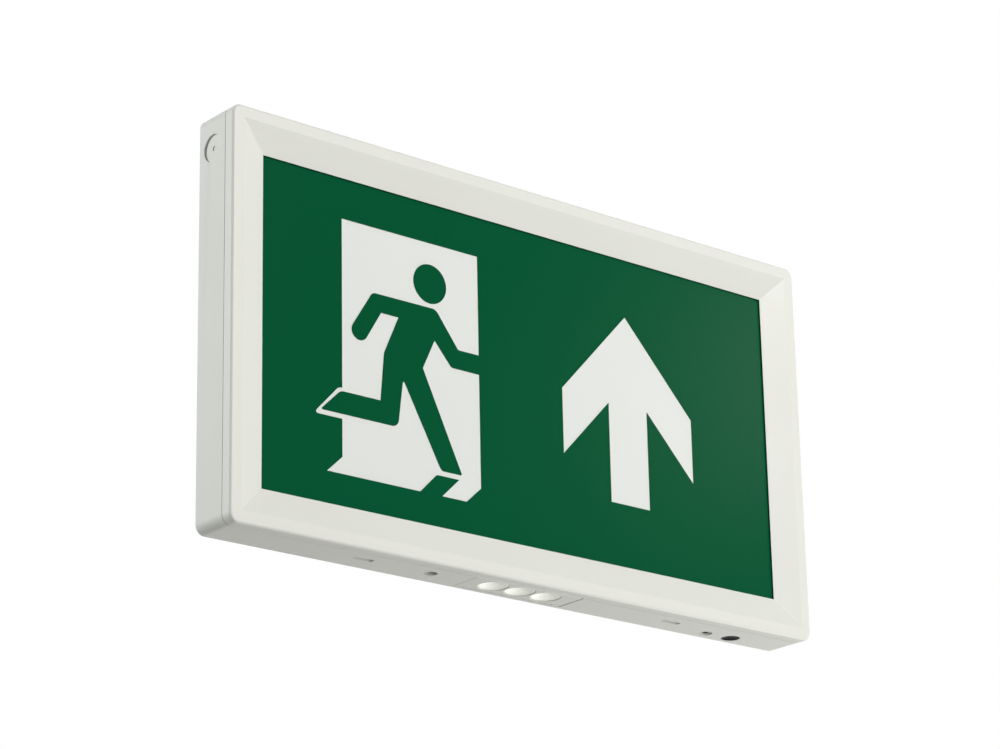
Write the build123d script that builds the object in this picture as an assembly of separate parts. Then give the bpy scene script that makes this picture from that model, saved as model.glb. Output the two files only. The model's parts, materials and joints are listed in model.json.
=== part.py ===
from build123d import *
from math import asin, cos, sin
import os

# Wall-mounted emergency exit light, in millimetres. The origin is the centre of the rear face, which lies on
# the wall. +Y runs into the wall, so the sign faces -Y, and +Z is up.

# Housing
width = 370.0
height = 208.0
depth = 28.0
corner_radius = 5.0
wall = 2.2
front_edge_radius = 1.5
rear_edge_bevel = 0.6

# Seam between the rear body and the front cover
cover_depth = 6.1
seam_gap = 0.35
lap_depth = 3.5
lap_thickness = 0.95
lap_clearance = 0.2

# Frame round the legend
lip_width = 6.5
border_side = 21.15
border_top = 20.55
bevel_drop = 5.0
frame_thickness = 2.1
sign_step = 1.0
frame_edge_thickness = 0.3
shadow_gap_width = 1.8

# Legend panel, its film and the hooks that hold it
panel_margin = 3.0
panel_thickness = 2.0
film_thickness = 0.3
pocket_clearance = 0.3
pocket_rib = 1.4
hook_length = 12.0
hook_reach = 1.3
hook_thickness = 1.2
hook_clearance = 0.1
hook_lead_in = 0.8
hook_count_across = 4
hook_count_up = 2
hook_end_distance = 32.0

# Pictogram, drawn on a grid of one hundredth of its height
pictogram_height = 130.0
door_left = -116.35
door_bottom = -67.2
grid = pictogram_height / 100

# Latch arms on the cover and the release slots below them
latch_from_side = 86.7
latch_setback = 14.4
slot_length = 12.0
slot_width = 3.3
slot_corner_radius = 0.6
latch_width = 10.0
latch_thickness = 1.6
latch_clearance = 0.7
latch_overhang = 2.0

# Plain holes and knock-outs
small_hole_diameter = 6.8
small_hole_x = -56.8
small_hole_setback = 15.2
knockout_diameter = 14.0
knockout_depth = 1.0
knockout_below_top = 18.3
knockout_setback = 16.8
dimple_diameter = 2.6
dimple_depth = 0.5

# Wall fixing and cable entry
fixing_hole_diameter = 5.0
fixing_from_side = 10.0
fixing_spacing_up = 124.0
fixing_pad_diameter = 13.0
fixing_pad_height = 1.0
grommet_hole_diameter = 14.0
grommet_from_side = 21.0
grommet_below_top = 14.0
grommet_bore_diameter = 8.0
grommet_flange = 2.0
grommet_lip = 1.6

# Screws and the holes they pass through
screw_diameter = 3.0
screw_head_diameter = 5.8
screw_head_height = 1.8
small_screw_diameter = 2.2
small_screw_head_diameter = 4.2
small_screw_head_height = 1.4
screw_fit = 0.05
screw_clearance = 0.2
screw_bite = 1.5

# Downlight in the underside
downlight_x = -1.0
downlight_width = 66.4
downlight_rear_distance = 3.1
downlight_gap_left = 0.3
downlight_gap_right = 0.9
downlight_gap_rear = 0.3
downlight_edge_bevel = 0.4
window_diameter = 16.0
window_pitch = 16.8
window_setback = 15.4
finger_groove_length = 57.0
finger_groove_width = 0.9
finger_groove_depth = 0.6
dish_clearance = 0.2
dish_recess = 0.5
dish_rim = 0.9
dish_rise = 4.2
dish_wall = 1.0
dish_shoulder = 3.1
dish_bands = 3
lens_flange_width = 1.0
lens_flange_thickness = 1.0
downlight_post_height = 6.0
downlight_post_diameter = 4.2
downlight_post_offset = 6.8
downlight_post_clearance = 0.3
downlight_board_depth = 17.0
downlight_board_clearance = 0.5
snap_width = 8.0
snap_thickness = 1.2
snap_catch = 1.0
snap_clearance = 0.2

# Indicator lamp
indicator_from_side = 56.7
indicator_from_wall = 7.6
indicator_recess_diameter = 7.3
indicator_recess_depth = 1.0
indicator_diameter = 5.0
indicator_clearance = 0.15
indicator_length = 5.0
indicator_flange = 1.0
indicator_rim = 0.4
indicator_bands = 4

# Test button and the switch behind it
button_from_side = 39.3
button_from_wall = 7.9
button_diameter = 9.5
button_clearance = 0.3
button_dish = 0.7
button_edge = 0.6
button_bands = 3
button_flange_diameter = 10.8
button_flange_thickness = 1.0
button_seat_clearance = 0.3
button_travel = 1.5
plunger_width = 3.0
plunger_clearance = 0.3
plunger_length = 5.0
plunger_end_gap = 0.4
switch_size = 8.0
switch_height = 6.6
switch_edge = 0.4
switch_gap = 0.7

# Reflector tray
reflector_thickness = 1.0
reflector_rear_distance = 4.2
reflector_front_gap = 1.9
reflector_slope = 13.5
reflector_overlap = 1.0
reflector_corner_radius = 6.0
reflector_flange = 2.0
reflector_post_diameter = 8.0
reflector_post_from_side = 45.0
reflector_post_from_top = 49.0

# Light strips
strip_from_side = 45.0
strip_from_post = 19.0
strip_width = 12.0
strip_thickness = 1.2
strip_corner_radius = 1.0
lens_count = 5
lens_end_distance = 15.0
lens_diameter = 12.0
lens_height = 4.4
lens_top_diameter = 7.0
lens_foot_height = 1.5
lens_pocket = 4.2
lens_pocket_height = 1.4
led_size = 3.2
led_height = 0.8

# Driver board
board_height = 24.0
board_thickness = 1.6
board_corner_radius = 1.2
board_from_side = 21.0
board_from_downlight = 19.8
board_from_floor = 3.2
board_post_height = 0.8
board_post_diameter = 6.0
board_hole_inset = 3.6

# Row of large components along the lower edge of the board
row_from_edge = 0.8
row_from_left = 10.0
row_from_switch = 1.5
output_capacitor_diameter = 8.0
output_capacitor_length = 11.0
choke_diameter = 8.0
choke_height = 9.0
choke_flange = 1.2
choke_waist = 0.9
input_capacitor_diameter = 10.0
input_capacitor_length = 13.0
capacitor_bead_distance = 2.0
capacitor_bead = 0.4
transformer_width = 17.0
transformer_height = 14.0
transformer_depth = 12.0
core_middle_leg = 4.0
core_side_leg = 2.0
core_yoke = 2.5
core_depth = 6.0
coil_clearance = 0.6
coil_corner_radius = 1.0

# Small components along the upper edge of the board
upper_row_from_edge = 4.5
control_chip_from_right = 62.0
control_chip_width = 5.0
control_chip_height = 4.0
control_chip_thickness = 1.6
rectifier_from_right = 45.0
rectifier_width = 4.8
rectifier_height = 4.0
rectifier_thickness = 2.4
fuse_from_right = 21.0
fuse_length = 11.0
fuse_diameter = 4.0
fuse_cap_length = 2.4
fuse_cap_step = 0.4

# Connectors at the two ends of the board
connector_length = 8.0
connector_depth = 5.5
connector_pitch = 2.5
connector_wall = 0.7
connector_gap = 0.3
connector_hole_depth = 6.0
connector_hole_clearance = 0.2
plug_clearance = 0.1
plug_nose_length = 6.0
plug_grip_length = 4.5
plug_grip_height = 5.0
plug_grip_depth = 4.8

# Battery stick and its cradles
cell_diameter = 14.3
cell_length = 49.0
cell_count = 3
cell_neck = 0.8
cell_neck_depth = 0.5
battery_cap_thickness = 1.6
battery_from_side = 24.0
battery_from_rear = 1.0
battery_from_top = 1.2
cradle_thickness = 4.0
cradle_wall = 1.6
cradle_clearance = 0.15
cradle_wrap = 2.6

# Terminal block
terminal_count = 4
terminal_pitch = 8.4
terminal_height = 16.0
terminal_depth = 12.5
terminal_shoulder = 4.2
terminal_from_side = 46.0
terminal_below_top = 2.4
terminal_seat = 0.8
terminal_notch = 1.2
terminal_mouth = 4.2
terminal_contact_setback = 5.6
terminal_cage_inset = 3.5
terminal_cage_wall = 0.7
terminal_cage_fit = 0.05
terminal_well_diameter = 4.6
terminal_screw_clearance = 0.2
terminal_screw_recess = 1.2
terminal_screw_slot_width = 0.8
terminal_screw_slot_depth = 1.0

# Cable clamp
clamp_from_side = 37.0
clamp_length = 21.0
clamp_width = 7.0
clamp_thickness = 2.6
clamp_post_height = 6.0
clamp_post_diameter = 7.0
clamp_hole_spacing = 15.0
clamp_arch_radius = 2.4
clamp_arch_wall = 2.4
clamp_screw_bite = 4.8

# Leads
mains_lead_diameter = 1.8
mains_lead_bend = 2.0
battery_lead_diameter = 1.4
battery_lead_bend = 1.5
battery_lead_offset = 2.0
lamp_lead_diameter = 1.2
lamp_lead_bend = 1.2
lamp_lead_pitch = 3.0
lamp_lead_from_lens = 3.0
lamp_lead_from_board = 3.0
lead_side_count = 8
lead_wall_gap = 0.1
lead_end_gap = 0.05
live_run_from_side = 27.0
neutral_run_from_side = 24.6
red_run_from_side = 22.2
black_run_from_side = 20.2
live_run_from_top = 28.0
neutral_run_from_top = 25.6
mains_lead_rise = 2.5
mains_lead_sidestep = 6.4
battery_lead_drop = 12.0
side_run_sidestep = 8.5
side_run_drop = 14.0
side_run_below_board_top = 1.4
strip_lead_rise = 7.0
downlight_lead_from_right = 7.2
downlight_lead_pitch = 3.5

# Places worked out from the sizes above
half_width = width / 2
half_height = height / 2
inner_z = half_height - wall
floor_z = -inner_z
front_y = -depth
seam_y = front_y + cover_depth
body_front_y = seam_y + seam_gap
inner_edge_y = front_y + bevel_drop
film_y = inner_edge_y + sign_step
panel_y = film_y + film_thickness
panel_rear_y = panel_y + panel_thickness
hook_y = panel_rear_y + hook_clearance
opening_width = width - 2 * border_side
opening_height = height - 2 * border_top
panel_width = opening_width + 2 * panel_margin
panel_height = opening_height + 2 * panel_margin
latch_y = front_y + latch_setback

window_y = front_y + window_setback
downlight_rear_y = -downlight_rear_distance
downlight_left = downlight_x - downlight_width / 2
downlight_right = downlight_x + downlight_width / 2
downlight_board_z = floor_z + downlight_post_height
downlight_top_z = downlight_board_z + board_thickness

indicator_x = half_width - indicator_from_side
button_x = half_width - button_from_side
button_seat_z = floor_z + button_seat_clearance
button_top_z = button_seat_z + button_flange_thickness
switch_bottom_z = button_top_z + button_travel + switch_gap

reflector_rear_y = -reflector_rear_distance
reflector_front_y = panel_rear_y + reflector_front_gap
reflector_mouth_width = opening_width + 2 * reflector_overlap
reflector_mouth_height = opening_height + 2 * reflector_overlap
strip_y = reflector_rear_y - reflector_thickness
strip_face_y = strip_y - strip_thickness
strip_length = width - 2 * strip_from_side
strip_offset = half_height - reflector_post_from_top - strip_from_post

board_rear_y = -wall - board_post_height
board_front_y = board_rear_y - board_thickness
board_right = half_width - board_from_side
board_left = downlight_right + board_from_downlight
board_length = board_right - board_left
board_x = (board_left + board_right) / 2
board_bottom = floor_z + board_from_floor
board_top = board_bottom + board_height
board_z = (board_bottom + board_top) / 2
row_z = board_bottom + row_from_edge
upper_row_z = board_top - upper_row_from_edge
transformer_z = row_z + transformer_height / 2
core_rear_y = board_front_y - (transformer_depth - core_depth) / 2
core_window_width = (transformer_width - core_middle_leg) / 2 - core_side_leg
core_window_height = transformer_height - 2 * core_yoke
connector_y = board_front_y - connector_depth / 2
input_connector_z = board_z + connector_pitch + (connector_wall + connector_gap) / 2
battery_socket_z = board_z - connector_pitch - (connector_wall + connector_gap) / 2

battery_length = cell_count * cell_length + 2 * battery_cap_thickness
battery_right = half_width - battery_from_side
battery_y = -wall - battery_from_rear - cell_diameter / 2
battery_z = inner_z - battery_from_top - cell_diameter / 2

terminal_width = terminal_count * terminal_pitch
terminal_left = -half_width + terminal_from_side
terminal_top = inner_z - terminal_below_top
terminal_bottom = terminal_top - terminal_height
terminal_z = (terminal_bottom + terminal_top) / 2
terminal_rear_y = -wall - terminal_seat
terminal_front_y = terminal_rear_y - terminal_depth
terminal_contact_y = terminal_rear_y - terminal_contact_setback
clamp_x = -half_width + clamp_from_side
clamp_rear_y = -wall - clamp_post_height
grommet_x = -half_width + grommet_from_side
grommet_z = half_height - grommet_below_top


def facing(y):
    """Sketch plane seen from the front: its x is X, its y is Z, and extrusions grow towards the viewer."""
    return Plane(origin=(0, y, 0), x_dir=(1, 0, 0), z_dir=(0, -1, 0))


def slab(outline, rear, front):
    """A front-view outline given thickness between two distances along Y."""
    return extrude(facing(rear) * outline, rear - front)


def column(outline, low, high):
    """A plan-view outline given height between two levels."""
    return extrude(Plane.XY.offset(low) * outline, high - low)


def bar(outline, left, right):
    """A side-view outline, with Y across and Z up, given length between two places along X."""
    return extrude(Plane.YZ.offset(left) * outline, right - left)


def turned(profile):
    """A profile of distance out and height, turned about Z."""
    return revolve(Plane.XZ * profile, Axis.Z)


def polygon(*points):
    return make_face(Polyline(*points, close=True))


def housing_outline(inset):
    return RectangleRounded(width - 2 * inset, height - 2 * inset, corner_radius - inset)


def spread(count, span):
    """Evenly spaced places, centred on zero, from one end of a span to the other."""
    return [span * (place / (count - 1) - 0.5) for place in range(count)]


def corners(span_across, span_up):
    return [(x, z) for x in spread(2, span_across) for z in spread(2, span_up)]


def group(solids):
    return Compound(children=list(solids))


def bowl(radius, rise, bands):
    """Points up the hollow of a shallow bowl, from its rim to its crown, as distance out and height."""
    sphere = (radius ** 2 + rise ** 2) / (2 * rise)
    half_angle = asin(radius / sphere)
    angles = [half_angle * (1 - band / bands) for band in range(bands + 1)]
    return [(sphere * sin(angle), rise - sphere * (1 - cos(angle))) for angle in angles]


def screw(diameter, length, head_diameter, head_height):
    """A screw with the underside of its head at the origin and its shank along +Y."""
    return slab(Circle(head_diameter / 2), 0, -head_height) + slab(Circle(diameter / 2), length, 0)


def pilot(diameter, length):
    """The hole in which a screw of that diameter bites."""
    return slab(Circle(diameter / 2 + screw_fit), length, 0)


def clear_hole(x, z, diameter):
    """A hole through a piece that a screw passes freely."""
    return slab(Pos(x, z) * Circle(diameter / 2 + screw_clearance), 0, -depth)


def lead(diameter, bend, *points):
    """A lead of straight runs joined by bends of one radius, with few sides because it is so thin."""
    path = FilletPolyline(*points, radius=bend)
    return sweep(Plane(origin=path @ 0, z_dir=path % 0) * RegularPolygon(diameter / 2, lead_side_count), path=path)


# Where the pieces are screwed down, as x and z seen from the front
reflector_posts = corners(width - 2 * reflector_post_from_side, height - 2 * reflector_post_from_top)
fixing_holes = corners(width - 2 * fixing_from_side, fixing_spacing_up)
board_hole_span = (board_length - 2 * board_hole_inset, board_height - 2 * board_hole_inset)
board_posts = [(board_x + x, board_z + z) for x, z in corners(*board_hole_span)]
clamp_posts = [(clamp_x, grommet_z + z) for z in spread(2, clamp_hole_spacing)]

# Downlight windows, and the posts that stand between them on alternate sides
window_places = [downlight_x + x for x in spread(3, 2 * window_pitch)]
downlight_posts = [
    (downlight_x + side * window_pitch / 2, window_y - side * downlight_post_offset) for side in (-1, 1)
]

# Light sources on the strips. The lamp leads come through beside the last lens that keeps them off the board
lens_columns = spread(lens_count, strip_length - 2 * lens_end_distance)
lens_places = [(x, z) for z in (strip_offset, -strip_offset) for x in lens_columns]
lead_edges = [x - lens_diameter / 2 - lamp_lead_from_lens for x in lens_columns]
lead_edge = max(x for x in lead_edges if x - 2 * lamp_lead_pitch < board_left - lamp_lead_from_board)
link_columns = [lead_edge, lead_edge - lamp_lead_pitch]
feed_columns = [lead_edge - 2 * lamp_lead_pitch, lead_edge - 3 * lamp_lead_pitch]

latch_places = spread(2, width - 2 * latch_from_side)

# Component row: its pieces share the free length of the board evenly
row_left = board_left + row_from_left
row_right = button_x - switch_size / 2 - row_from_switch
row_widths = [output_capacitor_diameter, choke_diameter, input_capacitor_diameter, transformer_width]
row_gap = (row_right - row_left - sum(row_widths)) / (len(row_widths) + 1)
row_places = [
    row_left + row_gap * (place + 1) + sum(row_widths[:place]) + row_widths[place] / 2
    for place in range(len(row_widths))
]
output_capacitor_x, choke_x, input_capacitor_x, transformer_x = row_places

terminal_places = [terminal_left + terminal_pitch * (place + 0.5) for place in range(terminal_count)]


def battery_cradle(x):
    """A saddle rib that grips one cell, with its arms wrapped a little past the middle."""
    grip = cell_diameter / 2 + cradle_clearance
    front = battery_y - cradle_wrap
    rib = Pos((front - wall) / 2, battery_z) * Rectangle(-wall - front, 2 * (grip + cradle_wall))
    rib -= Pos(battery_y, battery_z) * Circle(grip)
    body = bar(rib, x - cradle_thickness / 2, x + cradle_thickness / 2)
    return body & slab(housing_outline(wall / 2), 0, front_y)


def rear_body():
    """Moulded tray: rear wall, side walls with a rebate for the cover, posts, pads, cradles and cut-outs."""
    body = slab(housing_outline(0), 0, body_front_y)
    body = chamfer(body.edges().group_by(Axis.Y)[-1], rear_edge_bevel)
    body -= slab(housing_outline(wall), -wall, body_front_y)
    rebate = housing_outline(wall - lap_thickness - lap_clearance)
    body -= slab(rebate, body_front_y + lap_depth, body_front_y)

    def post(x, z, diameter, front):
        return slab(Pos(x, z) * Circle(diameter / 2), -wall / 2, front)

    for x, z in reflector_posts:
        body += post(x, z, reflector_post_diameter, reflector_rear_y)
    for x, z in board_posts:
        body += post(x, z, board_post_diameter, board_rear_y)
    for x, z in clamp_posts:
        body += post(x, z, clamp_post_diameter, clamp_rear_y)
    for x, z in fixing_holes:
        body += post(x, z, fixing_pad_diameter, -wall - fixing_pad_height)
    for place in range(cell_count):
        body += battery_cradle(battery_right - battery_cap_thickness - cell_length * (place + 0.5))
    seat = Pos(terminal_left + terminal_width / 2, terminal_z) * Rectangle(terminal_width, terminal_height / 2)
    body += slab(seat, -wall / 2, terminal_rear_y)

    bite = reflector_rear_distance - wall + screw_bite
    for x, z in reflector_posts:
        body -= Pos(x, reflector_rear_y, z) * pilot(screw_diameter, bite)
    for x, z in board_posts:
        body -= Pos(x, board_rear_y, z) * pilot(small_screw_diameter, board_post_height + screw_bite)
    for x, z in clamp_posts:
        body -= Pos(x, clamp_rear_y, z) * pilot(screw_diameter, clamp_post_height)
    for x, z in fixing_holes:
        body -= slab(Pos(x, z) * Circle(fixing_hole_diameter / 2), 0, -depth)
    body -= slab(Pos(grommet_x, grommet_z) * Circle(grommet_hole_diameter / 2), 0, -depth / 2)
    return body - underside_cuts() - side_cuts()


def underside_cuts():
    """Everything that is cut through the bottom wall."""
    cuts = []
    for x in latch_places:
        outline = Pos(x, latch_y) * RectangleRounded(slot_length, slot_width, slot_corner_radius)
        cuts.append(column(outline, -half_height, floor_z))
    small_hole = Pos(small_hole_x, front_y + small_hole_setback) * Circle(small_hole_diameter / 2)
    cuts.append(column(small_hole, -half_height, floor_z))

    left = downlight_left - downlight_gap_left
    right = downlight_right + downlight_gap_right
    rear = downlight_rear_y + downlight_gap_rear
    mouth = Pos((left + right) / 2, (rear + body_front_y) / 2) * Rectangle(right - left, rear - body_front_y)
    cuts.append(column(mouth, -half_height, floor_z))

    lamp = Pos(indicator_x, -indicator_from_wall)
    cuts.append(column(lamp * Circle(indicator_diameter / 2 + indicator_clearance), -half_height, floor_z))
    recess = lamp * Circle(indicator_recess_diameter / 2)
    cuts.append(column(recess, -half_height, -half_height + indicator_recess_depth))
    button_hole = Pos(button_x, -button_from_wall) * Circle(button_diameter / 2 + button_clearance)
    cuts.append(column(button_hole, -half_height, floor_z))
    return group(cuts)


def side_cuts():
    """The knock-out discs in both side walls."""
    cuts = []
    for side in (-1, 1):
        centre = Pos(side * half_width, front_y + knockout_setback, half_height - knockout_below_top)
        place = centre * Rot(0, 90, 0)
        cuts.append(place * Cylinder(knockout_diameter / 2, 2 * knockout_depth))
        cuts.append(place * Cylinder(dimple_diameter / 2, 2 * (knockout_depth + dimple_depth)))
    return group(cuts)


def funnel(shift):
    """The four-sided bevelled space in front of the legend, moved back by a distance."""
    mouth = facing(front_y + shift) * Rectangle(width - 2 * lip_width, height - 2 * lip_width)
    throat = facing(inner_edge_y + shift) * Rectangle(opening_width, opening_height)
    return loft([throat, mouth], ruled=True)


def panel_hook(x, z, turn):
    """A hook on the back of the cover that reaches over the edge of the legend panel."""
    reach = pocket_clearance + hook_reach
    profile = polygon(
        (-pocket_rib, hook_y),
        (reach, hook_y),
        (reach, hook_y + hook_thickness - hook_lead_in),
        (reach - hook_lead_in, hook_y + hook_thickness),
        (-pocket_rib, hook_y + hook_thickness),
    )
    return Pos(x, 0, z) * Rot(0, turn, 0) * extrude(profile, hook_length / 2, both=True)


def panel_hooks():
    """Hooks along all four edges, each pointing in towards the middle of the panel."""
    edge_x = panel_width / 2 + pocket_clearance
    edge_z = panel_height / 2 + pocket_clearance
    hooks = []
    for x in spread(hook_count_across, opening_width - 2 * hook_end_distance):
        hooks.append(panel_hook(x, edge_z, 90))
        hooks.append(panel_hook(x, -edge_z, -90))
    for z in spread(hook_count_up, opening_height - 2 * hook_end_distance):
        hooks.append(panel_hook(-edge_x, z, 0))
        hooks.append(panel_hook(edge_x, z, 180))
    return hooks


def latch_arm(x):
    """An arm that reaches back from the cover, over its release slot."""
    low = floor_z + latch_clearance
    high = low + latch_thickness
    tip = latch_y + slot_width / 2 + latch_overhang
    root = front_y + frame_thickness / 2
    profile = polygon(
        (root, floor_z - lap_thickness / 2),
        (seam_y, floor_z - lap_thickness / 2),
        (seam_y + latch_clearance, low),
        (tip - latch_thickness, low),
        (tip, low + latch_thickness / 2),
        (tip, high),
        (root, high),
    )
    return bar(profile, x - latch_width / 2, x + latch_width / 2)


def front_cover():
    """Moulded frame: flat lip, mitred bevels, pocket and hooks for the legend, lap tongue and latch arms."""
    cover = slab(housing_outline(0), seam_y, front_y)
    cover = fillet(cover.edges().group_by(Axis.Y)[0], front_edge_radius)
    cover -= slab(housing_outline(wall), seam_y, front_y + frame_thickness)
    cover += funnel(frame_thickness)

    pocket_width = panel_width + 2 * pocket_clearance
    pocket_height = panel_height + 2 * pocket_clearance
    rib = Rectangle(pocket_width + 2 * pocket_rib, pocket_height + 2 * pocket_rib)
    cover += slab(rib, hook_y, front_y + frame_thickness / 2)
    cover -= funnel(0)
    cover -= slab(Rectangle(opening_width, opening_height), hook_y, inner_edge_y - frame_thickness)
    relief = Rectangle(opening_width + 2 * shadow_gap_width, opening_height + 2 * shadow_gap_width)
    cover -= slab(relief, film_y, inner_edge_y + frame_edge_thickness)
    cover -= slab(Rectangle(pocket_width, pocket_height), hook_y, film_y)

    tongue = housing_outline(wall - lap_thickness) - housing_outline(wall)
    cover += slab(tongue, seam_y + lap_depth, seam_y)
    notch_left = downlight_left - downlight_gap_left - lap_clearance
    notch_right = downlight_right + downlight_gap_right + lap_clearance
    notch = Pos((notch_left + notch_right) / 2, floor_z) * Rectangle(notch_right - notch_left, 2 * wall)
    cover -= slab(notch, seam_y + lap_depth, seam_y)

    for x in latch_places:
        cover += latch_arm(x)
    for hook in panel_hooks():
        cover += hook
    return cover


def on_grid(*places):
    """Grid places turned into points on the sign, as x and z."""
    return [(door_left + across * grid, door_bottom + up * grid) for across, up in places]


def rounded_shape(rows):
    """A closed outline from rows of grid place across, grid place up and corner radius in grid steps."""
    points = on_grid(*[(across, up) for across, up, radius in rows])
    radii = [radius * grid for across, up, radius in rows]
    return make_face(FilletPolyline(*points, radius=radii, close=True))


def running_figure():
    """Body of the running figure, without its head; the front arm runs off the edge of the door."""
    return rounded_shape([
        (44.3, 73.6, 3.6),
        (14.3, 73.6, 2.4),
        (3.2, 56.15, 3.6),
        (9.55, 52.1, 3.6),
        (18.3, 66.5, 0),
        (26.6, 66.5, 0),
        (19.6, 51.0, 4.0),
        (17.8, 31.8, 0),
        (-0.7, 31.8, 4.0),
        (-9.7, 23.1, 0.4),
        (25.85, 23.1, 3.0),
        (28.4, 42.7, 0.6),
        (46.2, 9.9, 2.4),
        (56.0, 9.9, 0.4),
        (37.8, 48.7, 0.6),
        (43.7, 61.1, 0.4),
        (51.7, 51.8, 2.4),
        (66.0, 51.8, 0),
        (66.0, 59.5, 0),
        (55.0, 59.5, 0.6),
    ])


def door_and_floor():
    """The open door, the light it throws on the floor and the pale rim round the trailing foot."""
    door = polygon(*on_grid((0, 6.5), (65.2, 6.5), (65.2, 100), (0, 100)))
    floor = polygon(*on_grid((0, 6.5), (-7.0, 0), (58.0, 0), (65.2, 6.5)))
    foot_rim = rounded_shape([(1.0, 33.2, 0), (-1.5, 33.2, 3.0), (-12.9, 21.1, 0.8), (1.0, 21.1, 0)])
    return door + floor + foot_rim


def foot_shadow():
    """Shadow that the leading foot throws on the floor."""
    return rounded_shape([
        (36.0, -1.0, 0),
        (36.0, 0, 0),
        (43.9, 7.85, 1.6),
        (54.5, 7.85, 0),
        (46.3, 0, 0),
        (46.3, -1.0, 0),
    ])


def direction_arrow():
    """Arrow that points up, with its head cut square at both ends."""
    centre = 140.7
    half = 34.0
    stem = 10.1
    right = [(centre + half, 55.2), (centre + half, 28.4), (centre + stem, 53.8), (centre + stem, 13.2)]
    left = [(2 * centre - across, up) for across, up in reversed(right)]
    return polygon(*on_grid((centre, 91.8), *right, *left))


def legend_print():
    """Green film, cut away where the opal panel shows through."""
    head = Pos(*on_grid((41.7, 83.3))[0]) * Circle(7.85 * grid)
    pale = door_and_floor() - running_figure() - foot_shadow() - head
    film = Rectangle(panel_width, panel_height) - pale - direction_arrow()
    return slab(film, panel_y, film_y)


def legend_panel():
    return slab(Rectangle(panel_width, panel_height), panel_rear_y, panel_y)


def reflector_tray(inset):
    """The sloping tray form, drawn in from its outside by a wall thickness."""
    mouth_size = (reflector_mouth_width - 2 * inset, reflector_mouth_height - 2 * inset)
    base_size = [size - 2 * reflector_slope for size in mouth_size]
    base = facing(reflector_rear_y - inset) * RectangleRounded(*base_size, reflector_corner_radius)
    mouth = facing(reflector_front_y) * RectangleRounded(*mouth_size, reflector_corner_radius)
    return loft([base, mouth], ruled=True)


def reflector():
    """A shallow tray with sloping sides and a narrow rim, open towards the panel."""
    rim = RectangleRounded(
        reflector_mouth_width + 2 * reflector_flange,
        reflector_mouth_height + 2 * reflector_flange,
        reflector_corner_radius + reflector_flange,
    )
    piece = reflector_tray(0) + slab(rim, reflector_front_y + reflector_thickness, reflector_front_y)
    piece -= reflector_tray(reflector_thickness)
    for x, z in reflector_posts:
        piece -= clear_hole(x, z, screw_diameter)
    for x, z in lead_holes(-strip_offset) + lead_holes(strip_offset):
        piece -= clear_hole(x, z, lamp_lead_diameter)
    return piece


def reflector_screws():
    length = reflector_rear_distance - wall + reflector_thickness + screw_bite - screw_fit
    one = screw(screw_diameter, length, screw_head_diameter, screw_head_height)
    return group(Pos(x, strip_y, z) * one for x, z in reflector_posts)


def lead_holes(z):
    """Where leads come through the strip at that height: all four at the lower one, two at the upper."""
    return [(x, z) for x in (link_columns if z > 0 else link_columns + feed_columns)]


def led_strip(z):
    outline = RectangleRounded(strip_length, strip_width, strip_corner_radius)
    strip = slab(Pos(0, z) * outline, strip_y, strip_face_y)
    for x, hole_z in lead_holes(z):
        strip -= clear_hole(x, hole_z, lamp_lead_diameter)
    return strip


def strip_leds():
    one = slab(Rectangle(led_size, led_size), strip_face_y, strip_face_y - led_height)
    return group(Pos(x, 0, z) * one for x, z in lens_places)


def strip_lens():
    """Spreader lens on its board, with a square pocket over the light source."""
    profile = polygon(
        (0, 0),
        (lens_diameter / 2, 0),
        (lens_diameter / 2, lens_foot_height),
        (lens_top_diameter / 2, lens_height),
        (0, lens_height),
    )
    return Rot(90, 0, 0) * turned(profile) - slab(Rectangle(lens_pocket, lens_pocket), 0, -lens_pocket_height)


def strip_lenses():
    one = strip_lens()
    return group(Pos(x, strip_face_y, z) * one for x, z in lens_places)


def downlight_panel():
    """Snap-in plate, flush with the underside, with three windows and the posts that carry its board."""
    length = downlight_rear_y - body_front_y
    middle_y = (downlight_rear_y + body_front_y) / 2
    panel = column(Pos(downlight_x, middle_y) * Rectangle(downlight_width, length), -half_height, floor_z)
    front_edge = panel.edges().filter_by(Axis.X).group_by(Axis.Z)[0].group_by(Axis.Y)[0]
    panel = chamfer(front_edge, downlight_edge_bevel)
    for x in window_places:
        panel -= column(Pos(x, window_y) * Circle(window_diameter / 2), -half_height, floor_z)
    groove_y = downlight_rear_y - finger_groove_width
    groove = Pos(downlight_x, groove_y) * Rectangle(finger_groove_length, finger_groove_width)
    panel -= column(groove, -half_height, -half_height + finger_groove_depth)
    for x, y in downlight_posts:
        panel += column(Pos(x, y) * Circle(downlight_post_diameter / 2), floor_z - wall / 2, downlight_board_z)
    for side in (-1, 1):
        panel += downlight_snap(side)
    hole = Rot(-90, 0, 0) * pilot(small_screw_diameter, downlight_post_height)
    for x, y in downlight_posts:
        panel -= Pos(x, y, downlight_board_z) * hole
    return panel


def downlight_snap(side):
    """A springy tab at one end of the plate, with a catch that rests on the inside of the bottom wall."""
    outer = downlight_x + side * downlight_width / 2
    inner = outer - side * snap_thickness
    gap = downlight_gap_left if side < 0 else downlight_gap_right
    seat = floor_z + snap_clearance
    profile = polygon(
        (inner, floor_z - wall / 2),
        (outer, floor_z - wall / 2),
        (outer, seat),
        (outer + side * (gap + snap_catch), seat),
        (outer, seat + 2 * snap_catch),
        (inner, seat + 2 * snap_catch),
    )
    return slab(profile, window_y + snap_width / 2, window_y - snap_width / 2)


def light_dish():
    """One dish, hollow side down, turned as a cup with a bowl-shaped hollow."""
    outer = window_diameter / 2 - dish_clearance
    low = -half_height + dish_recess
    crown = low + dish_rise + dish_wall
    shoulder_z = floor_z + lens_flange_thickness
    hollow = [(out, low + up) for out, up in bowl(outer - dish_rim, dish_rise, dish_bands)]
    outside = [(0, crown), (outer - dish_shoulder, crown), (outer, shoulder_z), (outer, low)]
    return turned(polygon(*hollow, *outside))


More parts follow.
